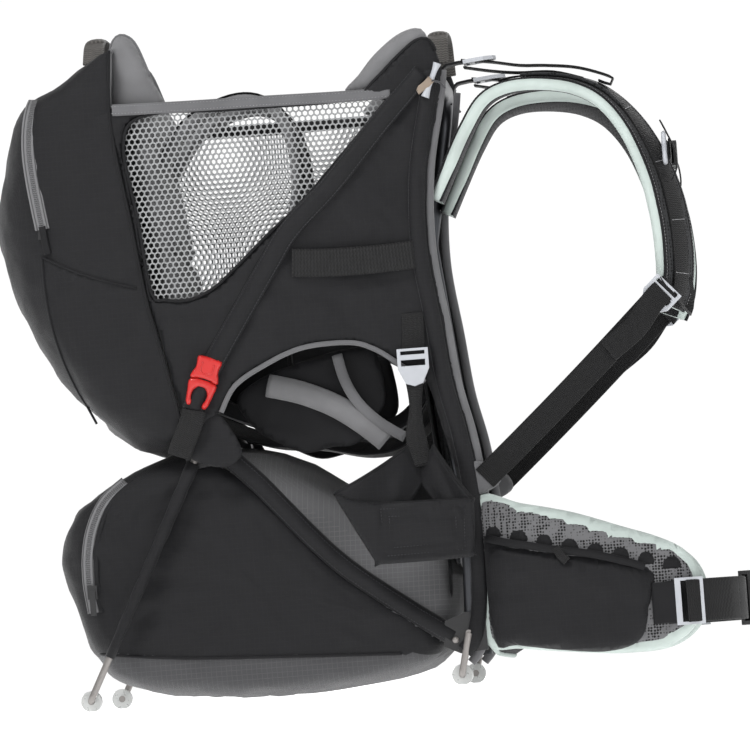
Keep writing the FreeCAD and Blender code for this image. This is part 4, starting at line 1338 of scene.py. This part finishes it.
def make_wing(sign, side):
    """One hip wing: foam with a mint edge, spacer cover, lining, scalloped bumps and its pocket."""
    outline = closed_line(WING, 6)
    foam = pillow("hip_foam_" + side, outline, 13, on_wing(sign), mint, ROOT, edge=7, step=8)
    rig.replaces(foam, "hip_wing_" + side)
    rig.padded(foam, 0.8)
    centre = Vector((210, 95))
    inner = []
    for p in smooth(WING, True, 6):
        away = Vector((p[0], p[1])) - centre
        inner.append(tuple(centre + away * (1 - 9 / away.length)))
    cover = pillow("hip_cover_" + side, inner, 11, on_wing(sign, 3.4), spacer_open, ROOT, edge=8, step=8,
                   channels=[[(130, 50), (300, 40)], [(130, 170), (310, 112)]], depth=0.25)
    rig.padded(cover, 0.6)
    lining_pad = pillow("hip_lining_" + side, inner, 9, on_wing(sign, -4.4), spacer_black, ROOT, edge=8,
                        step=9,
                        channels=[[(140, 130), (200, 120), (300, 96)], [(150, 80), (300, 66)]], depth=0.5)
    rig.padded(lining_pad, 0.6)
    for k in range(8):
        x = 122 + 25 * k
        z = 156 - 6.4 * k
        bump = [(x - 8, z - 9), (x - 7, z), (x - 4, z + 3), (x + 4, z + 3), (x + 7, z), (x + 8, z - 9)]
        pillow("hip_scallop_%d_%s" % (k, side), closed_line(bump, 3), 2.4, on_wing(sign, 8.6),
               plain_black, ROOT, edge=2.5, step=5)
    pocket = closed_line(POCKET, 6)
    bag = pillow("hip_pocket_" + side, pocket, 17, on_wing(sign, 7.2), nylon, ROOT, edge=16, ripple=1.8,
                 step=7,
                 channels=[[(118, 140), (200, 116), (272, 98)]], depth=0.25, back=0.2)
    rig.padded(bag, 0.4)
    place = on_wing(sign, 15.0)
    mouth = [Vector(place(p[0], p[1], 0.8)) for p in smooth([(118, 147), (166, 134), (226, 121),
                                                             (270, 106)], step=6)]
    strap("pocket_zip_cover_" + side, mouth, (0, 0.1, 1), 8, 2.4, plain_black, ROOT, crown=0.8)
    pull = [Vector(place(186, 132, 2)), Vector(place(190, 124, 4)), Vector(place(196, 117, 3))]
    strap("pocket_pull_" + side, smooth(pull, step=3), (1, 0, 0.4), 9, 1.8, web_black, ROOT)
    make_belt_end(sign, side)


def make_belt_end(sign, side):
    """The belt's webbing through the white slider, round to the middle."""
    lo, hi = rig.box("belt_webbing_" + side)
    z = (lo.z + hi.z) / 2 / MM
    line = [(292, 156.6), (306, 155.4), (318, 153), (331, 150.2), (346, 146.6), (361, 133), (369.4, 112),
            (370.8, 90), (370.9, 66), (371, 45)]
    path = at_level(line, sign, z, 4)
    band = strap("hip_webbing_" + side, path, (0, 0, 1), 44, 1.8, web_wide, ROOT)
    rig.replaces(band, "belt_webbing_" + side)
    anchor = at_level([(276, 160), (292, 162), (305, 163.4)], sign, z, 4)
    strap("belt_anchor_" + side, anchor, (0, 0, 1), 42, 2.4, plain_black, ROOT)
    fold = at_level([(312, 166.5), (326, 164), (342, 157), (356, 146), (364, 133)], sign, z, 4)
    strap("hip_webbing_tail_" + side, fold, (0, 0, 1), 43, 1.8, web_wide, ROOT)


for SIGN, SIDE in SIDES:
    make_wing(SIGN, SIDE)


# ---------------------------------------------------------------- wearer's back
BACK_FACE = [(113, 122), (112, 200), (104, 290), (95, 380), (84, 470), (88, 540), (99, 604)]


def make_back():
    """The channelled back cushion, the lumbar cushion and the cloth behind them."""
    outline = [(-90, 122), (90, 122), (97, 150), (92, 300), (88, 430), (94, 560), (84, 606), (-84, 606),
               (-94, 560), (-88, 430), (-92, 300), (-97, 150)]
    outline = closed_line(outline, 10)
    channels = [[(-32, 130), (-30, 360), (-30, 600)], [(32, 130), (30, 360), (30, 600)],
                [(-90, 300), (0, 292), (90, 300)], [(-88, 440), (0, 432), (88, 440)]]
    channels = [[tuple(p) for p in smooth(c, step=8)] for c in channels]
    pad = pillow("back_cushion", outline, 26,
                 lambda y, z, c: (at_height(BACK_FACE, z) - 30 + c * 0.8, y, z),
                 spacer_grey, ROOT, edge=20, channels=channels, groove=4, depth=0.55, step=9)
    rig.replaces(pad, "back_panel")
    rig.padded(pad, 0.7)
    ring = [Vector((at_height(BACK_FACE, p[1]) - 29, p[0], p[1])) for p in outline]
    tube("back_cushion_binding", ring + ring[:1], 2.6, binding, ROOT, across=(1, 0, 0))
    shape = [(-96, 30), (96, 30), (99, 60), (92, 104), (60, 117), (-60, 117), (-92, 104), (-99, 60)]
    shape = closed_line(shape, 8)
    channels = [[(-90, 92), (0, 84), (90, 92)], [(-90, 52), (0, 46), (90, 52)]]
    lumbar = pillow("lumbar_cushion", shape, 36,
                    lambda y, z, c: (112 + c * 0.9 + 12 * (1 - (y / 99) ** 2), y, z), spacer_black, ROOT,
                    edge=26, channels=channels, step=8)
    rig.replaces(lumbar, "lumbar_pad")
    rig.padded(lumbar, 0.8)
    ring = [Vector((112 + 12 * (1 - (p[0] / 99) ** 2), p[0], p[1])) for p in shape]
    tube("lumbar_binding", ring + ring[:1], 2.6, mint, ROOT, across=(1, 0, 0))
    wall = [(-104, 90), (104, 90), (104, 600), (-104, 600)]
    pillow("back_frame_cloth", wall, 3, lambda y, z, c: (at_height(BACK_FACE, z) - 44 + c, y, z),
           nylon, ROOT, edge=6, ripple=1.0, step=12)


make_back()


# ---------------------------------------------------------------- stirrups
def make_stirrup(sign, side):
    """A foot stirrup: padded panel, gathered strap and the two folds up to its crown."""
    body = side + "_stirrup"
    lo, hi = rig.box("stirrup_" + side)
    face = max(abs(lo.y), abs(hi.y)) / MM
    top = hi.z / MM
    mid = 50
    panel = [(-38, 203), (-30, 201), (0, 192), (96, 189), (103, 183), (100, 136), (95, 129), (4, 128),
             (-2, 132),
             (-36, 196)]
    outline = closed_line(panel, 4)
    box_line = [(8, 184), (93, 181), (91, 137), (10, 136), (8, 184)]
    inner = [(16, 176), (84, 173), (83, 145), (18, 144), (16, 176)]
    pad = pillow("stirrup_panel_" + side, outline, 9.5, lambda x, z, c: (x, sign * (face - 3.4 + c), z),
                 nylon, body,
                 edge=6, channels=[box_line, inner], depth=0.5, groove=2.0, step=4)
    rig.replaces(pad, "stirrup_" + side)
    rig.padded(pad, 0.5)
    for k, line in enumerate((box_line, inner)):
        fine = []
        for a, b in zip(line, line[1:]):
            fine += [Vector(a).lerp(Vector(b), t / 6) for t in range(6)]
        row = [Vector((p[0], sign * (face - 0.8), p[1])) for p in fine + [Vector(line[-1])]]
        stitches("panel_stitches_%d_%s" % (k, side), row, (0, sign, 0), thread, body)
    hang = [Vector((mid, sign * 139.4, top)), Vector((mid - 1, sign * 139.2, 290)),
            Vector((mid - 3, sign * 140, 262)),
            Vector((mid - 1, sign * 141, 240)), Vector((mid + 1, sign * 142, 226))]
    route = smooth(hang, step=5)

    def gather(i):
        t = i / (len(route) - 1)
        return strap_section(22 - 9 * math.sin(math.pi * min(1, t * 1.25)) ** 2 + 3 * max(0, t - 0.8),
                             3.2, 1.6)

    sweep("stirrup_strap_" + side, route, gather, (1, 0, 0), web_black, body)
    for name, edge, crown in (("rear", ((-38, 203), (2, 146)), ((38, 246), (54, 214))),
                              ("front", ((102, 187), (98, 140)), ((64, 246), (46, 214)))):
        verts, faces, uvs = [], [], []
        rows, cols = 10, 12
        for i in range(rows + 1):
            t = i / rows
            for j in range(cols + 1):
                u = j / cols
                a = Vector(edge[0]).lerp(Vector(edge[1]), u)
                b = Vector(crown[0]).lerp(Vector(crown[1]), u)
                p = a.lerp(b, t)
                y = (face - 4.5) + (141 - face + 4.5) * (t ** 1.4)
                y += 1.6 * math.sin(u * 9 + t * 4) * math.sin(math.pi * t)
                verts.append((p.x, sign * y, p.y - 6 * math.sin(math.pi * t) * (0.4 + u * 0.4)))
                uvs.append((u / 2, t / 2))
        for i in range(rows):
            for j in range(cols):
                k = i * (cols + 1) + j
                faces.append((k, k + 1, k + cols + 2, k + cols + 1))
        wing = add("stirrup_%s_%s" % (name, side), verts, faces, nylon, body, uvs)
        mod = wing.modifiers.new("cloth", "SOLIDIFY")
        mod.thickness = 0.0032
        mod.offset = 0
        rim = [Vector(v) for v in verts[::cols + 1]]
        tube("stirrup_hem_%s_%s" % (name, side), rim, 1.9, plain_black, body, across=(0, 1, 0))
    loop = [Vector((mid, sign * 141.5, 337)), Vector((mid, sign * 139.4, 345)),
            Vector((mid + 1, sign * 136.8, 352)),
            Vector((mid + 2, sign * 135.4, 366)), Vector((mid + 2, sign * 135, 384))]
    strap("stirrup_mount_" + side, smooth(loop, step=4), (1, 0, 0), 23, 1.8, web_black, ROOT)


for SIGN, SIDE in SIDES:
    make_stirrup(SIGN, SIDE)


# ---------------------------------------------------------------- handles, tabs and small trim
def make_handles():
    """The two ribbed webbing handles on top."""
    for node, x in (("front_handle", 94), ("rear_handle", -266)):
        lo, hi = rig.box(node)
        foot, peak = lo.z / MM, hi.z / MM - 1.8
        line = [(-66, foot - 4), (-57, foot + 6), (-44, peak - 8), (-22, peak - 1), (0, peak),
                (22, peak - 1),
                (44, peak - 8), (57, foot + 6), (66, foot - 4)]
        path = [Vector((x, y, z)) for y, z in smooth(line, step=4)]
        band = strap(node + "_webbing", path, (1, 0, 0), 22, 2.6, web_handle, ROOT, crown=0.8)
        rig.replaces(band, node)
        grip = [p for p in path if abs(p.y) < 34]
        tube(node + "_grip", [p + Vector((0, 0, 0.4)) for p in grip], 10.5, web_handle, ROOT,
             across=(1, 0, 0),
             flatten=0.34)
        for y in (-60, 60):
            tack = [Vector((x + k, y, foot + 2)) for k in (-9, 0, 9)]
            stitches("%s_tack_%d" % (node, y > 0), tack, (0, 0, 1), grey_thread, ROOT, pitch=1.3, long=1.0)


def make_toggles():
    """The toggles for a sun cover, each with a tab and a cord loop."""
    y = abs(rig.box("cover_toggles")[0].y) / MM - 3.6
    for sign, side in SIDES:
        path = [Vector((82, sign * y, 604)), Vector((86, sign * y, 613)), Vector((93, sign * y, 629)),
                Vector((97, sign * y, 638))]
        bar = tube("cover_toggle_bar_" + side, smooth(path, step=2),
                   lambda t: 3.9 - 1.6 * math.sin(math.pi * t) ** 3 + 0.5 * math.cos(t * 12), white, ROOT,
                   across=(0, 1, 0))
        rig.replaces(bar, "cover_toggles")
        tab = [Vector((90, sign * (y + 3.4), 622)), Vector((83, sign * (y + 1.6), 616)),
               Vector((74, sign * (y - 2), 611))]
        strap("toggle_tab_" + side, smooth(tab, step=3), (0.5, 0, -1), 8, 1.6, tan, ROOT)
        loop = [Vector((90, sign * (y + 3.6), 620)), Vector((98, sign * (y + 1), 618)),
                Vector((103, sign * (y - 4), 612))]
        tube("toggle_cord_" + side, smooth(loop, step=2), 1.2, thread, ROOT)


BUCKLE_UP = Vector((0.36, 0, 0.93))         # the red buckles' pull direction
BUCKLE_WIDE = Vector((0.93, 0, -0.36))
SOCKET_SHAPE = [(-10, 24), (10, 24), (13, 21), (12, 12), (14.2, 5), (14, -1), (0, 1), (-14, -1), (-14.2, 5),
                (-12, 12), (-13, 21)]
HOOK_SHAPE = [(-14, -2), (0, 0.4), (14, -2), (13.6, -14), (11.5, -26), (8, -29), (5.6, -26), (8, -16),
              (4, -8.6),
              (-4, -8.6), (-8, -16), (-5.6, -26), (-8, -29), (-11.5, -26), (-13.6, -14)]


def make_red_buckles():
    """The rounded shapes of the red buckles: a socket above, and a forked plug below it."""
    for sign, side in SIDES:
        lo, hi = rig.box("red_buckle_plug_" + side)
        face = sign * (abs(lo.y) + abs(hi.y)) / 2 / MM
        middle = Vector((-165, face, 330))

        def place(a, b, c, s=sign, m=middle):
            return m + BUCKLE_WIDE * a + BUCKLE_UP * b + Vector((0, s * c, 0))

        for name, shape, body in (("socket", SOCKET_SHAPE, ROOT), ("plug", HOOK_SHAPE, side + "_plug")):
            outline = closed_line(shape, 2)
            piece = pillow("red_%s_%s" % (name, side), outline, 8.4, place, red, body, edge=2.2, step=2.2)
            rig.replaces(piece, "red_buckle_sockets" if name == "socket" else "red_buckle_plug_" + side)
        ridge = [place(a, b, 4.2) for a, b in ((-6, 18), (-6, 9), (0, 6), (6, 9), (6, 18))]
        tube("buckle_ridge_" + side, smooth(ridge, step=2), 0.8, red, ROOT)


def make_buckle_webs():
    """The folded webbing that each red buckle's plug hangs from."""
    for sign, side in SIDES:
        lo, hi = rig.box("red_buckle_plug_" + side)
        y = sign * min(abs(lo.y), abs(hi.y)) / MM + sign * 3
        x, z = (lo.x / MM + 9), lo.z / MM
        path = [Vector((x + 6, y + sign * 2.5, z + 20)), Vector((x + 3, y + sign * 3.5, z + 9)),
                Vector((x - 3, y + sign * 2, z - 4)), Vector((x - 9, y, z - 16)),
                Vector((x - 13, y - sign * 2, z - 26))]
        web = strap("buckle_web_" + side, smooth(path, step=3), (0.93 * -sign, 0, -0.36 * -sign), 25,
                    2.2, web_black,
                    side + "_plug", crown=0.5)
        bevel(web, 0.3)


def make_bracket_pins():
    """The pins that hold the frame brackets."""
    for sign, side in SIDES:
        for x, z in ((72, 46), (96, 60)):
            pin = round_section(3.4, 1, 16)
            path = [Vector((x, sign * (130 + k), z)) for k in (-1, 0, 1.6, 2.2)]
            sweep("bracket_pin_%d_%s" % (x, side), path, pin, (1, 0, 0), rod_paint, ROOT)


make_handles()
make_toggles()
make_red_buckles()
make_buckle_webs()
make_bracket_pins()


def dress_cad():
    """The pieces whose shape is already right get their finish here."""
    for node in ("back_frame", "frame_crossbars", "seat_frame"):
        dress(node, tube_metal)
    for node in ("kickstand_rod", "front_foot_rods"):
        dress(node, rod_paint)
    for node in ("front_feet", "kickstand_feet"):
        dress(node, clear_plastic, 1.6)
    for node in ("frame_brackets", "hinge_blocks", "hip_buckle_socket", "hip_buckle_plug",
                 "sternum_buckle_plug"):
        dress(node, black_plastic, 1.2)
    dress("hinge_bushes", white)
    for node in ("pocket_zip_slider", "storage_zip_slider"):
        dress(node, black_plastic, 0.8)
    dress("belt_sliders", white, 0.9)
    for side in ("right", "left"):
        for node in ("shoulder_ladder_lock_", "lifter_ladder_lock_", "stirrup_slider_"):
            dress(node + side, white, 0.9)


dress_cad()


# ---------------------------------------------------------------- floor, light and camera
def make_stage():
    s = Shader("floor", (0.93, 0.93, 0.93), 0.9)
    s.tint(s.noise(0.5, 3), (0.925, 0.925, 0.925), (0.935, 0.935, 0.935))
    s.put("Emission Color", (1, 1, 1, 1))
    s.put("Emission Strength", 1.0)
    bpy.ops.mesh.primitive_plane_add(size=120, location=(0, 0, 0))
    floor = bpy.context.object
    floor.name = "floor"
    floor.data.materials.append(s.mat)
    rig.stage(floor)
    world = bpy.data.worlds.new("studio")
    bpy.context.scene.world = world
    world.use_nodes = True
    tree = world.node_tree
    background = tree.nodes["Background"]
    background.inputs["Color"].default_value = (1, 1, 1, 1)
    # white near the horizon, and dimmer overhead, so that folds show
    axes = tree.nodes.new("ShaderNodeSeparateXYZ")
    tree.links.new(tree.nodes.new("ShaderNodeTexCoord").outputs["Generated"], axes.inputs[0])
    dim = tree.nodes.new("ShaderNodeMapRange")
    tree.links.new(axes.outputs[2], dim.inputs[0])
    for socket, value in zip(("From Min", "From Max", "To Min", "To Max"), (0.16, 0.5, 1.02, 0.2)):
        dim.inputs[socket].default_value = value
    tree.links.new(dim.outputs[0], background.inputs["Strength"])
    bpy.context.scene.view_settings.view_transform = "Standard"


def area_light(name, place, aim, size, power):
    data = bpy.data.lights.new(name, "AREA")
    data.energy = power
    data.size = size
    lamp = bpy.data.objects.new(name, data)
    bpy.context.scene.collection.objects.link(lamp)
    lamp.location = place
    lamp.rotation_euler = (Vector(aim) - Vector(place)).to_track_quat("-Z", "Y").to_euler()


def make_lights():
    area_light("key", (-1.0, -1.7, 2.9), (0, 0, 0.35), 0.9, 66)
    area_light("fill", (2.2, -2.0, 1.2), (0, 0, 0.35), 1.8, 10)
    area_light("rim", (0.6, 2.4, 2.2), (0, 0, 0.4), 1.6, 30)


CAMERA_FAR = 6.0                # metres from the carrier
CAMERA_LOW = 0.02               # the lens is just above the floor
AIM = Vector((0.0, 0.0, 0.330))
YAW, ROLL = math.radians(4.0), math.radians(4.2)


def make_camera():
    data = bpy.data.cameras.new("camera")
    data.lens = 274.2
    data.sensor_width = 36
    data.clip_end = 200
    rise = math.asin((AIM.z - CAMERA_LOW) / CAMERA_FAR)
    look = Vector((-math.sin(YAW) * math.cos(rise), math.cos(YAW) * math.cos(rise), math.sin(rise)))
    right = look.cross(Vector((0, 0, 1))).normalized()
    up = right.cross(look)
    right, up = (right * math.cos(ROLL) - up * math.sin(ROLL), right * math.sin(ROLL) + up * math.cos(ROLL))
    camera = bpy.data.objects.new("camera", data)
    camera.matrix_world = Matrix.Translation(AIM - look * CAMERA_FAR) @ Matrix(
        (right, up, -look)).transposed().to_4x4()
    bpy.context.scene.collection.objects.link(camera)
    bpy.context.scene.camera = camera


make_stage()
make_lights()
make_camera()

with open("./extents.json", "w") as out:
    json.dump({"cad": [list(c) for c in CAD_BOX], "visual": [list(c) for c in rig.bounds()]}, out)
